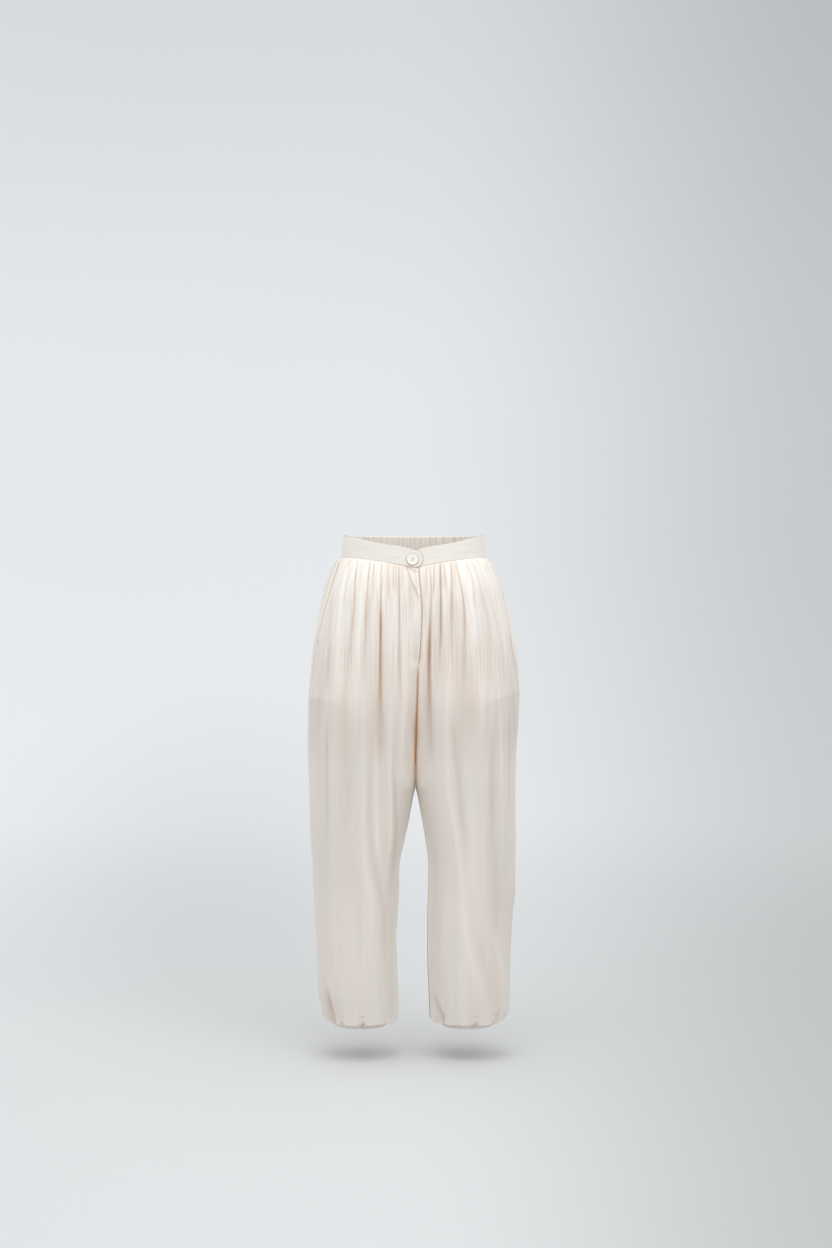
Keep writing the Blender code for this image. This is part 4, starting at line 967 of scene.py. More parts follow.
    limit = 1 - 0.15 / lengths
    own = np.clip(np.minimum(shares, 1.0), -limit, limit)
    x, y = leg.places(down, own, relief)
    z = heights(np.minimum(shares, 1.0), down)
    if not front:  # the edges at the back seam sink a little, but don't part
        plain = leg.places(down, own, 0 * relief)[0]
        x = plain + (x - plain) * smooth((1 - np.abs(own)) * lengths, *reaches["backLevel"])
    if fly:
        beyond = (shares > limit) & (extra > 0.02)
        mirrored = 1 - (shares - 1) * lengths / other.length(drops)[:, None]
        otherX, otherY = other.places(down, np.clip(mirrored, 0.0, 1 - 0.05 / lengths), relief)
        x = np.where(beyond, np.maximum(otherX, x + 0.02), x)
        y = np.where(beyond, otherY, y)
        # the crease at the centre plane is bridged by the stiffer fly
        mask = (fall(np.abs(inside), *reaches["bridge"]) * go["bridgeFade"])[:, 1:-5]
        for _ in range(60):
            average = (y[:, :-6] + y[:, 2:-4]) / 2
            y[:, 1:-5] += (average - y[:, 1:-5]) * mask * 0.8
    turned, puckers = turnUnder(side, face, own[-1], x[-1], y[-1])

    # a narrow turning at the top goes in under the band
    turning = np.stack([x[0], y[0], z[0]], -1)
    turning[:, 0], turning[:, 1] = leg.places(drops[0], own[0], relief[0] - panels["turning"])
    if fly:
        turning[beyond[0], 0] = x[0, beyond[0]]
        turning[beyond[0], 1] = y[0, beyond[0]] + panels["turning"]
    points = np.concatenate([turning[None], np.stack([x, y, z], -1), turned])

    # the turning takes the first row's marks, and the rows under the leg the last one's
    count = panels["balloonRows"]
    marks = {"hollow": hollow, "shade": shade, "lustre": lustre, "warmth": warmth, "liningBehind": own}
    for label, rows in marks.items():
        marks[label] = np.concatenate([rows[:1], rows, np.repeat(rows[-1:], count, 0)])
    under = np.arange(count)[:, None]
    # under the leg the cloth is painted lighter, and the puckers' notches get painted shade
    marks["shade"][-count:] -= smooth(under, *reaches["underLit"])
    marks["hollow"][-count:] += np.maximum(-puckers - 1.0, 0.0) / 5.0 * smooth(under, *reaches["underDark"])
    marks["shade"] = np.clip(marks["shade"], -1.0, 1.3)
    marks["hollow"] = np.clip(marks["hollow"], 0.0, 1.3)
    lastDown = form["lastDrop"] + panels["balloonPitch"] * np.arange(1, count + 1)
    allDrops = np.concatenate([[drops[0] - panels["turning"]], drops, lastDown])
    marks["liningBehind"] = liningBehind(side, marks["liningBehind"], allDrops[:, None])
    name = f"{face.lower()}Panel{sideNames[side]}"
    panel = gridMesh(name, points, mapGrid(allDrops, arc), satin, marks, flip=side == right)
    addWall(panel, panels["wall"])
    nodes = [f"{face.lower()}_{cadSide[side]}"]
    if fly:
        nodes.append("fly_front")
    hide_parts(*nodes)
    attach(panel, "root")
    return panel


panelPieces = {(side, face): makePanel(side, face) for side in (right, left) for face in ("Front", "Back")}
print("leg panels ready")


band = {
    "wall": 1.9, "overlap": 1.9, "rampStart": -62.0, "rampEnd": -26.0, "tabCentre": -3.0, "tabEnd": 15.1,
    "underlapEnd": -22.0, "columnPitch": 1.6, "faceSteps": 22, "edgeSteps": 6, "tabSteps": 26, "levels": 21,
    "ruchePitch": 6.2, "rucheDepth": 1.0, "rucheUneven": 0.4, "rucheShade": 0.55, "backPitch": 0.95,
    "buttonPlace": -6.0, "buttonHeight": 0.44, "buttonRadius": 11.5, "backWall": 2.6, "backRise": 1.6,
}


def bandOvals(side):
    # the band's ovals narrow from its lower edge, level 0, to its upper one, level 1
    width, depth = sections[0][1 if side == right else 2], sections[0][5]
    ovals = []
    for t in np.linspace(0.0, 1.0, band["levels"]):
        half = width - form["bandTopInset"] * t
        ovals.append((half, -half, depth + (form["bandTopDepth"] - depth) * t, 0.0))
    return ovals


bandLegs = {side: LegForm(side, bandOvals(side), 1 / (band["levels"] - 1)) for side in (right, left)}
bandLength = {side: bandLegs[side].lengths[0] for side in (right, left)}
# how far the band's top edge dips on the way from the side to the front centre
bandDip = (
    (0, 0), (0.24, 4.6), (0.41, 10.2), (0.50, 14.2), (0.715, 21.8), (0.81, 24.2), (0.895, 27.8), (0.95, 30.4),
    (1, 33.8),
)


def bandHeight(shares, t):
    front = np.clip(shares, 0.0, 1.0)
    top = form["bandTopSide"] - readTable(bandDip, 1, front)
    bottom = form["bandBottomSide"] - form["bottomDip"] * front ** form["bottomDipPower"]
    return bottom + (top - bottom) * t


def bandPoint(distances, t, lifts):
    # a point of the front band, its distance from the centre seam above 0 on the left
    distances, t, lifts = np.broadcast_arrays(*(np.asarray(values, float) for values in (distances, t, lifts)))
    x, y, z = (np.zeros(distances.shape) for _ in range(3))
    for side in (right, left):
        here = distances > 0 if side == left else distances <= 0
        shares = 1 - np.abs(distances[here]) / bandLength[side]
        x[here], y[here] = bandLegs[side].places(t[here], shares, lifts[here])
        z[here] = bandHeight(shares, t[here])
    return np.stack([x, y, z], -1)


def bandLoop(height, wall):
    # one section through a folded band: how far up it and how far out, in millimetres
    radius = wall / 2
    turn = np.linspace(0.0, math.pi, band["edgeSteps"] + 2)[1:-1]
    rise = np.linspace(0.0, 1.0, band["faceSteps"])[None, :] * (height[:, None] - wall) + radius
    over = height[:, None] - radius + radius * np.sin(turn)[None, :]
    under = 0 * height[:, None] + radius - radius * np.sin(turn)[None, :]
    up = np.concatenate([rise, over, rise[:, ::-1], under], 1)
    flat = np.zeros(band["faceSteps"])
    out = np.concatenate([flat, -radius + radius * np.cos(turn), flat - wall, -radius - radius * np.cos(turn)])
    return up, np.broadcast_to(out, up.shape)


def bandWrinkles(distances, up, seed):
    # faint slanting creases that the tab's pull leaves in the flat band
    slant = distances[:, None] + 0.55 * up + 400.0
    calm = 0.4 + 0.6 * np.exp(-((distances[:, None] + 10.0) / 90.0) ** 2)
    level = up + 0.12 * np.abs(distances[:, None] + 10.0) + 60.0
    way = np.abs(distances)[:, None] + 0 * up
    return calm * (0.18 * ripples(slant, up * 4.0, 15.0, seed) + 0.36 * ripples(level, way * 3.0, 9.0, seed + 1))


def makeFrontBand(side):
    tabReach = band["tabEnd"] - band["tabCentre"]
    if side == right:
        distances = np.concatenate([
            np.arange(-bandLength[right] + form["seamGap"] / 2, band["tabCentre"], band["columnPitch"]),
            band["tabCentre"] + tabReach * np.sin(np.linspace(0.0, math.pi / 2, band["tabSteps"])),
        ])
        lift = band["overlap"] * smooth(distances, band["rampStart"], band["rampEnd"])
    else:
        distances = np.arange(band["underlapEnd"], bandLength[left] - form["seamGap"] / 2, band["columnPitch"])
        lift = np.zeros(len(distances))
    low, high = (bandPoint(distances, t, 0.0)[:, 2] for t in (0.0, 1.0))
    bottom, top = low, high
    tabLow, middle, tabHigh = (bandPoint([band["tabCentre"]], t, 0.0)[0, 2] for t in (0.0, 0.5, 1.0))
    past = np.maximum(distances - band["tabCentre"], 0.0)
    if side == right:  # the tab's round end
        radius = (tabHigh - tabLow) / 2
        half = np.sqrt(np.maximum(radius * radius - past * past, 1.3))
        bottom = np.where(past > 0, middle - half, low)
        top = np.where(past > 0, middle + half, high)
    up, out = bandLoop(top - bottom, band["wall"])
    wrinkles = bandWrinkles(distances, up, 90 + side)
    t = (bottom[:, None] + up - low[:, None]) / (high - low)[:, None]
    points = bandPoint(distances[:, None] + 0 * t, t, lift[:, None] + out + wrinkles)
    level = bottom[:, None] + up
    # light is lost round the button on the right, and beside the tab's round end on the left
    if side == right:
        centre = bandPoint([band["buttonPlace"]], band["buttonHeight"], 0.0)[0, 2]
        away = np.hypot(distances[:, None] - band["buttonPlace"], level - centre) - band["buttonRadius"]
    else:
        away = np.hypot(past[:, None], level - middle) - tabReach
    hollow = (0.7 if side == right else 0.5) * fall(np.abs(away), 0.5, 3.0) * (out > -band["wall"] / 2)
    marks = {"liningBehind": 1.0, "lustre": 1.0, "hollow": hollow}
    piece = gridMesh(
        f"waistbandFront{sideNames[side]}", points, mapGrid(distances, wayRound(points[len(points) // 3])), bandSatin,
        marks, closedAcross=True, caps=endCaps(points),
    )
    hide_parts(f"waistband_front_{cadSide[side]}")
    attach(piece, "root")
    return piece


def newTree(name, numbers):
    # an empty geometry tree that is given a mesh, some numbers and a material
    tree = bpy.data.node_groups.new(name, "GeometryNodeTree")
    tree.interface.new_socket("Geometry", in_out="INPUT", socket_type="NodeSocketGeometry")
    for label in numbers:
        tree.interface.new_socket(label, in_out="INPUT", socket_type="NodeSocketFloat")
    tree.interface.new_socket("Material", in_out="INPUT", socket_type="NodeSocketMaterial")
    tree.interface.new_socket("Geometry", in_out="OUTPUT", socket_type="NodeSocketGeometry")
    return tree, tree.nodes.new("NodeGroupInput").outputs


def endTree(tree, geometry, material):
    whole = addNode(tree, "GeometryNodeRealizeInstances", {"Geometry": geometry})
    dressed = addNode(tree, "GeometryNodeSetMaterial", {"Geometry": whole, "Material": material})
    tree.links.new(dressed, tree.nodes.new("NodeGroupOutput").inputs[0])
    return tree


def ruchedTree():
    # draws elastic gathers into a band: valleys across it, uneven in place and in depth
    numbers = ("Pitch", "Depth", "Unevenness", "Seed", "Darkness")
    tree, given = newTree("ruchedByElastic", numbers)
    made = {name: given[name] for name in numbers}
    made["along"] = addNode(tree, "GeometryNodeInputNamedAttribute", {"Name": "along"}, data_type="FLOAT")
    # what is made, how, and from which two numbers; a noise's second pair is its scale and detail
    rows = (
        ("turns", "DIVIDE", "along", "Pitch"),
        ("start", "ADD", "turns", "Seed"), ("wander", "NOISE", "start", (0.55, 1.0)),
        ("start", "ADD", "Seed", 40.0), ("start", "ADD", "turns", "start"), ("strength", "NOISE", "start", (0.9, 0.0)),
        ("wander", "SUBTRACT", "wander", 0.5), ("most", "MULTIPLY", "Unevenness", 6.0),
        ("shift", "MULTIPLY", "wander", "most"), ("shift", "ADD", "turns", "shift"),
        ("ridge", "MULTIPLY", "shift", math.pi), ("ridge", "SINE", "ridge", 0.0), ("ridge", "ABSOLUTE", "ridge", 0.0),
        ("valley", "SUBTRACT", 1.0, "ridge"), ("valley", "POWER", "valley", 1.7),
        ("depth", "MULTIPLY", "valley", "Depth"),
        ("share", "MULTIPLY", "strength", 1.3), ("share", "ADD", 0.35, "share"),
        ("depth", "MULTIPLY", "depth", "share"), ("inward", "MULTIPLY", "depth", -1.0),
        ("share", "ADD", 0.45, "strength"), ("hollow", "MULTIPLY", "valley", "share"),
        ("hollow", "MULTIPLY", "hollow", "Darkness"),
    )
    for name, operation, first, second in rows:
        if operation == "NOISE":
            cells = {"W": made[first], "Scale": second[0], "Detail": second[1]}
            made[name] = addNode(tree, "ShaderNodeTexNoise", cells, noise_dimensions="1D")
        else:
            pair = {0: made.get(first, first), 1: made.get(second, second)}
            made[name] = addNode(tree, "ShaderNodeMath", pair, operation=operation)
    normal = addNode(tree, "GeometryNodeInputNormal")
    move = addNode(tree, "ShaderNodeVectorMath", {0: normal, "Scale": made["inward"]}, operation="SCALE")
    placed = addNode(tree, "GeometryNodeSetPosition", {"Geometry": given["Geometry"], "Offset": move})
    # the valleys are kept as the attribute of painted shade that darkens the cloth in them
    stored = {"Name": "hollow", "Geometry": placed, "Value": made["hollow"]}
    kept = addNode(tree, "GeometryNodeStoreNamedAttribute", stored, data_type="FLOAT", domain="POINT")
    return endTree(tree, kept, given["Material"])


def applyTree(piece, tree, **inputs):
    # runs a node tree on a piece and leaves the plain mesh that it makes
    sockets = {item.name: item.identifier for item in tree.interface.items_tree if item.in_out == "INPUT"}
    nodes = piece.modifiers.new("nodes", "NODES")
    nodes.node_group = tree
    for name, value in inputs.items():
        nodes[sockets[name]] = value
    evaluated = piece.evaluated_get(bpy.context.evaluated_depsgraph_get())
    mesh = bpy.data.meshes.new_from_object(evaluated)
    piece.modifiers.remove(nodes)
    old, piece.data = piece.data, mesh
    bpy.data.meshes.remove(old)
    mesh.name = piece.name
    mesh.shade_smooth()
    return piece


ruched = ruchedTree()


def makeBackBand():
    # the elasticated back runs from the left side round the back to the right side
    halves, runs = [], []
    height = form["bandTopSide"] - form["bandBottomSide"]
    for side in (left, right):
        count = int(bandLength[side] / band["backPitch"])
        shares = -np.linspace(form["seamGap"] / 2 / bandLength[side], 1.0, count)
        if side == right:
            shares = shares[::-1][1:]
        up, out = bandLoop(np.full(len(shares), height + band["backRise"]), band["backWall"])
        x, y = bandLegs[side].places(up / height, shares[:, None], out)
        halves.append(np.stack([x, y, bandHeight(shares[:, None], up / height)], -1))
        way = -shares * bandLength[side]
        runs.append(way if side == left else bandLength[left] + bandLength[right] - way)
    points, along = np.concatenate(halves), np.concatenate(runs)
    # the band's inner face is painted lighter, as painted light, through a shade mark below 0
    inside = -smooth(-out[:1], band["backWall"] * 0.4, band["backWall"] * 0.9)
    marks = {"along": along[:, None], "liningBehind": 1.0, "lustre": 1.0, "shade": inside}
    piece = gridMesh(
        "waistbandBack", points, mapGrid(along, wayRound(points[9])), elasticSatin, marks,
        closedAcross=True, caps=endCaps(points),
    )
    applyTree(
        piece, ruched, Pitch=band["ruchePitch"], Depth=band["rucheDepth"] * mm, Unevenness=band["rucheUneven"],
        Seed=3.0, Darkness=band["rucheShade"], Material=elasticSatin,
    )
    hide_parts("waistband_back")
    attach(piece, "root")
    return piece


frontBands = {side: makeFrontBand(side) for side in (right, left)}
backBand = makeBackBand()
print("waistband ready")


casing = {
    "wall": 2.2, "top": 926.0, "height": 18.0, "inset": 0.3, "steps": 420,
    "pitch": 8.0, "depth": 1.1, "uneven": 0.6, "shade": 0.1, "cut": (0.50, 0.019),
}


def makeCasing(side):
    angle = np.linspace(0.0, 2 * math.pi, casing["steps"], endpoint=False)
    up, out = bandLoop(np.full(len(angle), casing["height"]), casing["wall"])
    halfWidth = form["ankleHalfWidth"] - casing["inset"] + out
    halfDepth = form["ankleHalfDepth"] - casing["inset"] + out
    x = side * (form["ankleX"] + halfWidth * np.cos(angle)[:, None])
    y = -halfDepth * np.sin(angle)[:, None]
    z = form["bandBottomSide"] - casing["top"] - casing["height"] + up
    points = np.stack([x, y, z], -1)
    outer = points[:, 0]
    run = np.linalg.norm(np.roll(outer, -1, 0) - outer, axis=1)
    along = np.concatenate([[0.0], np.cumsum(run)])
    along = along * round(along[-1] / casing["pitch"]) * casing["pitch"] / along[-1]
    piece = gridMesh(
        f"hemCasing{sideNames[side]}", points, mapGrid(along, wayRound(points[0])), satin,
        {"along": along[:-1, None], "lustre": 0.3}, closedAcross=True, closedDown=True, flip=side == left,
    )
    applyTree(
        piece, ruched, Pitch=casing["pitch"], Depth=casing["depth"] * mm, Unevenness=casing["uneven"],
        Seed=9.0 + side, Darkness=casing["shade"], Material=satin,
    )
    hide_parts(f"hem_casing_{cadSide[side]}")
    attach(piece, "root")
    return piece


casings = {side: makeCasing(side) for side in (right, left)}
print("hem casings ready")


lining = {
    "wall": 0.35, "columns": 150, "rows": 64, "hem": 12.0, "hemLift": -0.9, "first": 1.5, "last": 291.6,
    "cut": (0.69, 0.37), "area": 0.175,
}
# drop, room at the side, room at front and back, and how far the two short legs have parted
liningRooms = (
    (1.5, 4.8, 4.8, 0.033), (10.0, 7.0, 7.0, 0.05), (25.0, 8.0, 8.0, 0.06), (60.0, 8.5, 9.0, 0.12),
    (110.0, 8.5, 11.0, 0.30), (170.0, 8.5, 17.0, 0.55), (220.0, 8.5, 24.0, 0.80), (252.0, 8.5, 28.0, 0.95),
    (264.0, 8.5, 29.0, 1.0), (292.0, 8.5, 30.0, 1.06),
)


def liningForm(side):
    drops = np.arange(0.0, lining["last"] + 2 * dropStep, dropStep)
    outer = readTable(sections, 1 if side == right else 2, drops) - readTable(liningRooms, 1, drops)
    inner = readTable(sections, 3 if side == right else 4, drops) * (1 - readTable(liningRooms, 3, drops))
    depth = readTable(sections, 5, drops) - readTable(liningRooms, 2, drops)
    return LegForm(side, list(zip(outer, inner, depth, readTable(sections, 6, drops))), dropStep)


liningLegs = {side: liningForm(side) for side in (right, left)}


def makeLining(side):
    leg = liningLegs[side]
    shares = np.linspace(1.0, -1.0, lining["columns"])[None, :]
    shares = np.clip(shares, -1 + 0.0006, 1 - 0.0006)
    drops = np.linspace(lining["first"], lining["last"], lining["rows"])[:, None]
    waves = ripples(np.broadcast_to((shares + 1.2) * 260.0, (1, lining["columns"])), drops, 15.0, 400 + side)
    lifts = 0.8 * waves * smooth(drops, 10.0, 60.0) - 0.6
    x, y = leg.places(drops, shares, lifts)
    rows = [np.stack([x, y, heights(shares, drops)], -1)]
    down = list(drops[:, 0])
    for back in (-0.1, 0.7, 4.0, lining["hem"]):  # the hem turns up inside
        place = lining["last"] - back
        x, y = leg.places(place, shares, lifts[-1:] + (lining["hemLift"] if back > 0 else -0.5))
        rows.append(np.stack([x, y, heights(shares, place)], -1))
        down.append(lining["last"] + 0.5 + back)
    points = np.concatenate(rows)
    across = np.linspace(0.0, leg.lengths.max() * 2, lining["columns"])
    name = f"shortLining{sideNames[side]}"
    piece = gridMesh(name, points, mapGrid(down, across), liningCloth, flip=side == left)
    addWall(piece, lining["wall"])
    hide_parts(f"lining_{cadSide[side]}")
    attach(piece, "root")
    return piece


linings = {side: makeLining(side) for side in (right, left)}
print("lining ready")


pocket = {
    "top": 48.0, "end": 262.0, "share": 0.32, "start": 0.02, "narrowing": 0.12, "rows": 44, "columns": 26,
    "outerLift": -3.1, "innerLift": -4.7, "round": 300.0, "cut": (0.10, 0.22), "area": 0.0165,
}
pocketSeam = ((0.0, 0.255), (60.0, 0.215), (172.0, 0.165), (300.0, 0.09), (460.0, 0.0), (940.0, 0.0))


def makePocket(side):
    drops = np.linspace(pocket["top"], pocket["end"], pocket["rows"])[:, None]
    t = (drops - pocket["top"]) / (pocket["end"] - pocket["top"])
    seam = readTable(pocketSeam, 1, drops)
    narrow = pocket["narrowing"] * smooth(t, 0.65, 1.0)
    first = seam + pocket["start"] + narrow
    final = seam + pocket["share"] - narrow
    way = np.linspace(0.0, 1.0, pocket["columns"])[None, :]
    middle = (pocket["outerLift"] + pocket["innerLift"]) / 2
    half = (pocket["outerLift"] - pocket["innerLift"]) / 2
    swell = half * np.minimum(1.0, 0.2 + 1.2 * np.sqrt(np.sin(math.pi * way)))
    soft = 0.25 * ripples(way * 90.0 + 0 * drops, drops * 3, 12.0, 600 + side)
    across = first + (final - first) * way
    loopShares = np.concatenate([across, across[:, ::-1]], 1)
    loopLifts = np.concatenate([middle + swell + soft, (middle - swell + soft)[:, ::-1]], 1)
    x, y = legs[side].places(drops, loopShares, loopLifts)
    points = np.stack([x, y, heights(loopShares, drops)], -1)
    run = np.linspace(0.0, pocket["round"], points.shape[1] + 1)
    piece = gridMesh(
        f"pocketBag{sideNames[side]}", points, mapGrid(drops[:, 0], run), liningCloth,
        closedAcross=True, flip=side == right, caps=endCaps(points),
    )
    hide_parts(f"pocket_{cadSide[side]}")
    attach(piece, "root")
    return piece


pockets = {side: makePocket(side) for side in (right, left)}
print("pocket bags ready")


button = {
    "profile": (
        (0.0, -1.8), (9.6, -1.8), (10.6, -1.5), (11.2, -0.9), (11.5, 0.0), (11.45, 0.7), (11.15, 1.35), (10.6, 1.72),
        (10.1, 1.8), (9.6, 1.68), (9.1, 1.35), (8.7, 0.95), (8.2, 0.74), (7.2, 0.66), (5.5, 0.60), (3.0, 0.56),
        (0.0, 0.55),
    ),
    "steps": 72, "holes": 4, "holeSteps": 20, "holeRadius": 1.05, "holeSpacing": 2.7, "softRim": 0.12,
    "stand": 2.2, "threadRadius": 0.32, "threadRise": 0.75, "strandPitch": 0.42,
}


def buttonTurn():
    # the button's seat on the band and the way it faces
    seat, above, beside = (
        Vector(bandPoint(band["buttonPlace"] + across, band["buttonHeight"] + up, band["overlap"]).ravel())
        for across, up in ((0.0, 0.0), (0.0, 0.2), (-8.0, 0.0))
    )
    facing = (above - seat).cross(beside - seat).normalized()
    if facing.y > 0:
        facing = -facing
    return seat, facing


def placeOnBand(mesh):
    seat, facing = buttonTurn()
    turn = facing.to_track_quat("Z", "Y").to_matrix().to_4x4()
    mesh.transform(turn)
    for vertex in mesh.vertices:
        vertex.co += (seat + facing * button["stand"]) * mm


def makeButton():
    turned = bmesh.new()
    corners = [turned.verts.new((r * mm, 0.0, h * mm)) for r, h in button["profile"]]
    outline = [turned.edges.new(pair) for pair in zip(corners, corners[1:])]
    spun = {"axis": (0, 0, 1), "cent": (0, 0, 0), "steps": button["steps"], "angle": 2 * math.pi, "use_merge": True}
    bmesh.ops.spin(turned, geom=corners + outline, **spun)
    bmesh.ops.remove_doubles(turned, verts=turned.verts, dist=1e-6)
    bmesh.ops.recalc_face_normals(turned, faces=turned.faces)
    mesh = bpy.data.meshes.new("buttonTurned")
    turned.to_mesh(mesh)
    turned.free()
    body = newObject("buttonTurned", mesh)
    drill = bmesh.new()
    radius = button["holeRadius"] * mm
    bitSize = {"segments": button["holeSteps"], "radius1": radius, "radius2": radius, "depth": 0.01}
    for i in range(button["holes"]):
        angle = math.pi / 4 + i * 2 * math.pi / button["holes"]
        made = bmesh.ops.create_cone(drill, cap_ends=True, **bitSize)
        place = Vector((math.cos(angle), math.sin(angle), 0.0)) * button["holeSpacing"] * mm
        bmesh.ops.translate(drill, verts=made["verts"], vec=place)
    drillMesh = bpy.data.meshes.new("buttonDrill")
    drill.to_mesh(drillMesh)
    drill.free()
    bit = newObject("buttonDrill", drillMesh)
    cut = body.modifiers.new("holes", "BOOLEAN")
    cut.object = bit
    cut.solver = "EXACT"
    drilled = bpy.data.meshes.new_from_object(body.evaluated_get(bpy.context.evaluated_depsgraph_get()))
    bpy.data.objects.remove(body)
    bpy.data.objects.remove(bit)
    placeOnBand(drilled)
    drilled.materials.clear()
    drilled.materials.append(resin)
    piece = newObject("waistButton", drilled)
    drilled.shade_smooth()
    bevel = piece.modifiers.new("softRims", "BEVEL")
    bevel.width = button["softRim"] * mm
    bevel.segments = 2
    bevel.limit_method = "ANGLE"
    bevel.angle_limit = math.radians(40)
    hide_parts("waist_button")
    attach(piece, "root")
    return piece


def stitchTree():
    # lays stitches along a path: each one a short bowed thread, its ends sunk into the cloth
    tree, given = newTree("stitchRun", ("Pitch", "Length", "Thickness", "Turn"))
    path = addNode(tree, "GeometryNodeMeshToCurve", {"Mesh": given["Geometry"]})
    spaced = addNode(tree, "GeometryNodeResampleCurve", {"Curve": path, "Length": given["Pitch"]}, mode="LENGTH")
    outward = addNode(tree, "GeometryNodeInputNamedAttribute", {"Name": "outward"}, data_type="FLOAT_VECTOR")
    bow = {"Resolution": 5, "Start": (-0.5, 0.0, -0.1), "Middle": (0.0, 0.0, 0.28), "End": (0.5, 0.0, -0.1)}
    line = addNode(tree, "GeometryNodeCurveQuadraticBezier", bow)
    size = addNode(tree, "ShaderNodeCombineXYZ", {i: given["Length"] for i in range(3)})
    scaled = addNode(tree, "GeometryNodeTransform", {"Geometry": line, "Scale": size})
    half = addNode(tree, "ShaderNodeMath", {0: given["Thickness"], 1: 0.5}, operation="MULTIPLY")
    ring = addNode(tree, "GeometryNodeCurvePrimitiveCircle", {"Resolution": 6, "Radius": half})
    strand = addNode(tree, "GeometryNodeCurveToMesh", {"Fill Caps": True, "Curve": scaled, "Profile Curve": ring})
    axes = {"Primary Axis": outward, "Secondary Axis": addNode(tree, "GeometryNodeInputTangent")}
    facing = addNode(tree, "FunctionNodeAxesToRotation", axes, primary_axis="Z", secondary_axis="X")
    twist = addNode(tree, "ShaderNodeCombineXYZ", {2: given["Turn"]})
    turns = {"Rotation": facing, "Rotate By": twist}
    turned = addNode(tree, "FunctionNodeRotateRotation", turns, rotation_space="LOCAL")
    laid = addNode(tree, "GeometryNodeInstanceOnPoints", {"Points": spaced, "Instance": strand, "Rotation": turned})
    return endTree(tree, laid, given["Material"])


stitchRun = stitchTree()


def makeStitches(name, paths, pitch, length, thickness, turn=0.0, slot="ivory_satin"):
    # each path is a list of points and one of outward directions, in millimetres
    vertices, edges, outward = [], [], []
    for points, directions in paths:
        start = len(vertices)
        vertices += [tuple(v * mm for v in p) for p in points]
        outward += [tuple(d) for d in directions]
        edges += [(start + i, start + i + 1) for i in range(len(points) - 1)]
    mesh = bpy.data.meshes.new(name)
    mesh.from_pydata(vertices, edges, [])
    ways = mesh.attributes.new("outward", "FLOAT_VECTOR", "POINT")
    ways.data.foreach_set("vector", np.array(outward, float).ravel())
    piece = newObject(name, mesh)
    sizes = {"Pitch": pitch * mm, "Length": length * mm, "Thickness": thickness * mm}
    applyTree(piece, stitchRun, **sizes, Turn=turn, Material=thread)
    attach(piece, "root")
    return piece


def pathOn(leg, drops, shares, lift):
    # a path over a leg's form, with the way out at each of its points
    drops, shares = np.broadcast_arrays(np.asarray(drops, float), np.asarray(shares, float))
    x, y = leg.places(drops, shares, lift)
    outX, outY = leg.places(drops, shares, lift + 5.0)
    z = heights(shares, drops)
    way = np.stack([outX - x, outY - y, 0 * z], -1)
    way = way / np.linalg.norm(way, axis=-1, keepdims=True)
    return np.stack([x, y, z], -1).tolist(), way.tolist()


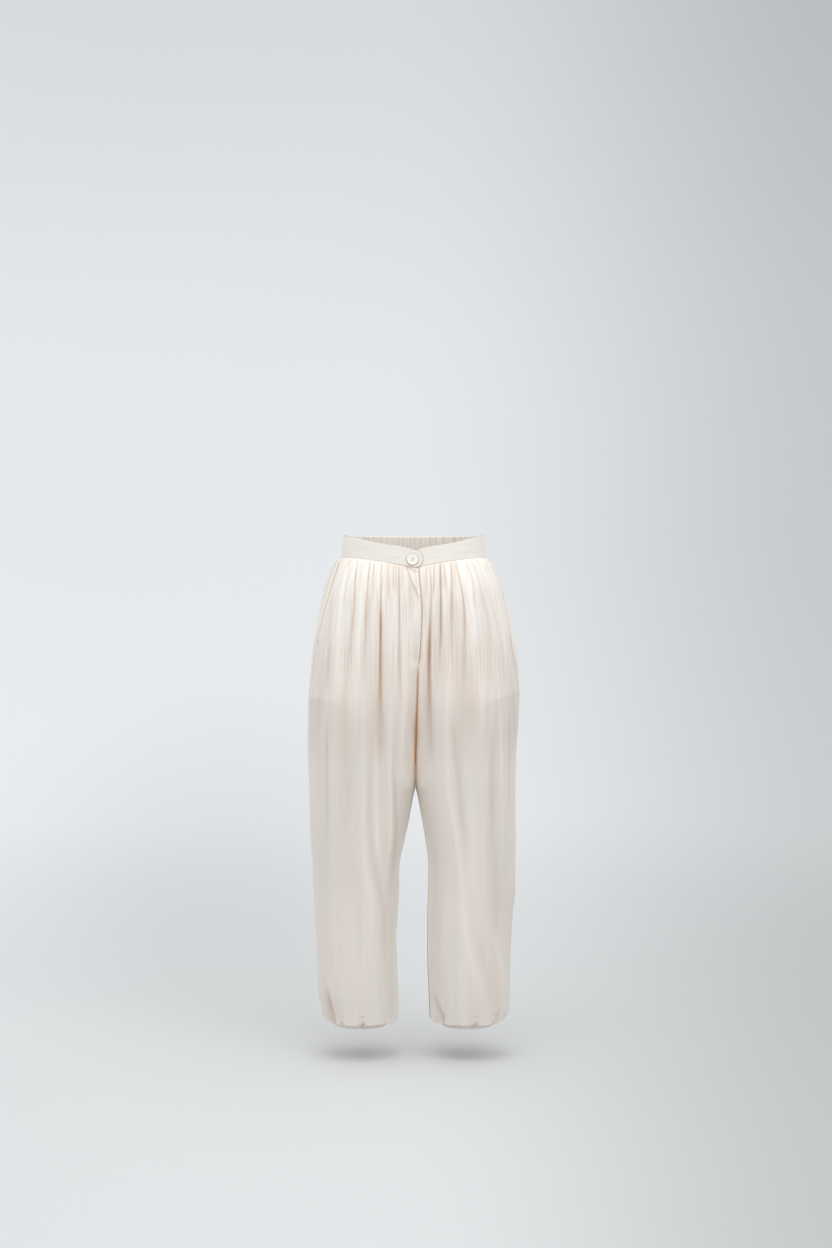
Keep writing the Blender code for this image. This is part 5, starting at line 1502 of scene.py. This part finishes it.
def makeButtonThread():
    # two bars of thread between the holes, each of three strands side by side
    paths = []
    half = button["holeSpacing"] / math.sqrt(2)
    for y in (-half, half):
        for strand in (-button["strandPitch"], 0.0, button["strandPitch"]):
            across = np.linspace(-half, half, 9)
            bowed = np.cos(across / half * math.pi / 2) ** 0.5
            rise = 0.55 + button["threadRise"] * bowed - 0.5 * abs(strand)
            rise[0] = rise[-1] = -1.2
            paths.append([(x, y + strand, h) for x, h in zip(across, rise)])
    curve = bpy.data.curves.new("buttonThread", "CURVE")
    curve.dimensions = "3D"
    curve.bevel_depth = button["threadRadius"] * mm
    curve.bevel_resolution = 3
    curve.use_fill_caps = True
    for path in paths:
        spline = curve.splines.new("POLY")
        spline.points.add(len(path) - 1)
        for point, place in zip(spline.points, path):
            point.co = (*(v * mm for v in place), 1.0)
    loose = newObject("buttonThreadLine", curve)
    mesh = bpy.data.meshes.new_from_object(loose.evaluated_get(bpy.context.evaluated_depsgraph_get()))
    bpy.data.objects.remove(loose)
    placeOnBand(mesh)
    mesh.materials.clear()
    mesh.materials.append(thread)
    mesh.shade_smooth()
    piece = newObject("buttonThread", mesh)
    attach(piece, "root")
    return piece


makeButton()
makeButtonThread()

# stitching: the lining's hem, and the tacks that hold the fly's foot and the ends of the pocket mouths
stitching = {
    "hemUp": 9.0, "hemPitch": 3.2, "hemLength": 2.5, "hemThread": 0.32,
    "tackPitch": 0.5, "tackLength": 3.2, "tackThread": 0.6, "flyFootDrop": 213.0, "pocketFootDrop": 168.0,
}


def rowOfCloth(piece, drop, first, last):
    # some neighbouring points of one row of a front panel, with the way out of the cloth at each
    columns = len(piece.data.vertices) // (panels["frontRows"] + panels["balloonRows"] + 1)
    row = 1 + int(rowDrops(panels["frontRows"]).searchsorted(drop))
    corners = [piece.data.vertices[row * columns + c] for c in range(first, last)]
    return [corner.co / mm + corner.normal * 0.25 for corner in corners], [corner.normal for corner in corners]


centreColumn = panels["frontColumnsSide"] + panels["frontColumnsMain"] - 1
# side, drop, and the columns that the tack crosses
tacks = {
    "flyFootTack": (right, stitching["flyFootDrop"], centreColumn - 4, centreColumn),
    "pocketTackRight": (right, stitching["pocketFootDrop"], 2, 8),
    "pocketTackLeft": (left, stitching["pocketFootDrop"], 2, 8),
}
for name, (side, drop, first, last) in tacks.items():
    run = rowOfCloth(panelPieces[(side, "Front")], drop, first, last)
    sizes = (stitching[size] for size in ("tackPitch", "tackLength", "tackThread"))
    makeStitches(name, [run], *sizes, turn=math.pi / 2)
for side in (right, left):
    hemShares = np.linspace(0.995, -0.995, 260)
    run = pathOn(liningLegs[side], lining["last"] - stitching["hemUp"], hemShares, 0.15)
    sizes = (stitching[size] for size in ("hemPitch", "hemLength", "hemThread"))
    makeStitches(f"liningHemStitches{sideNames[side]}", [run], *sizes, slot="ivory_lining")
print("button and stitches ready")
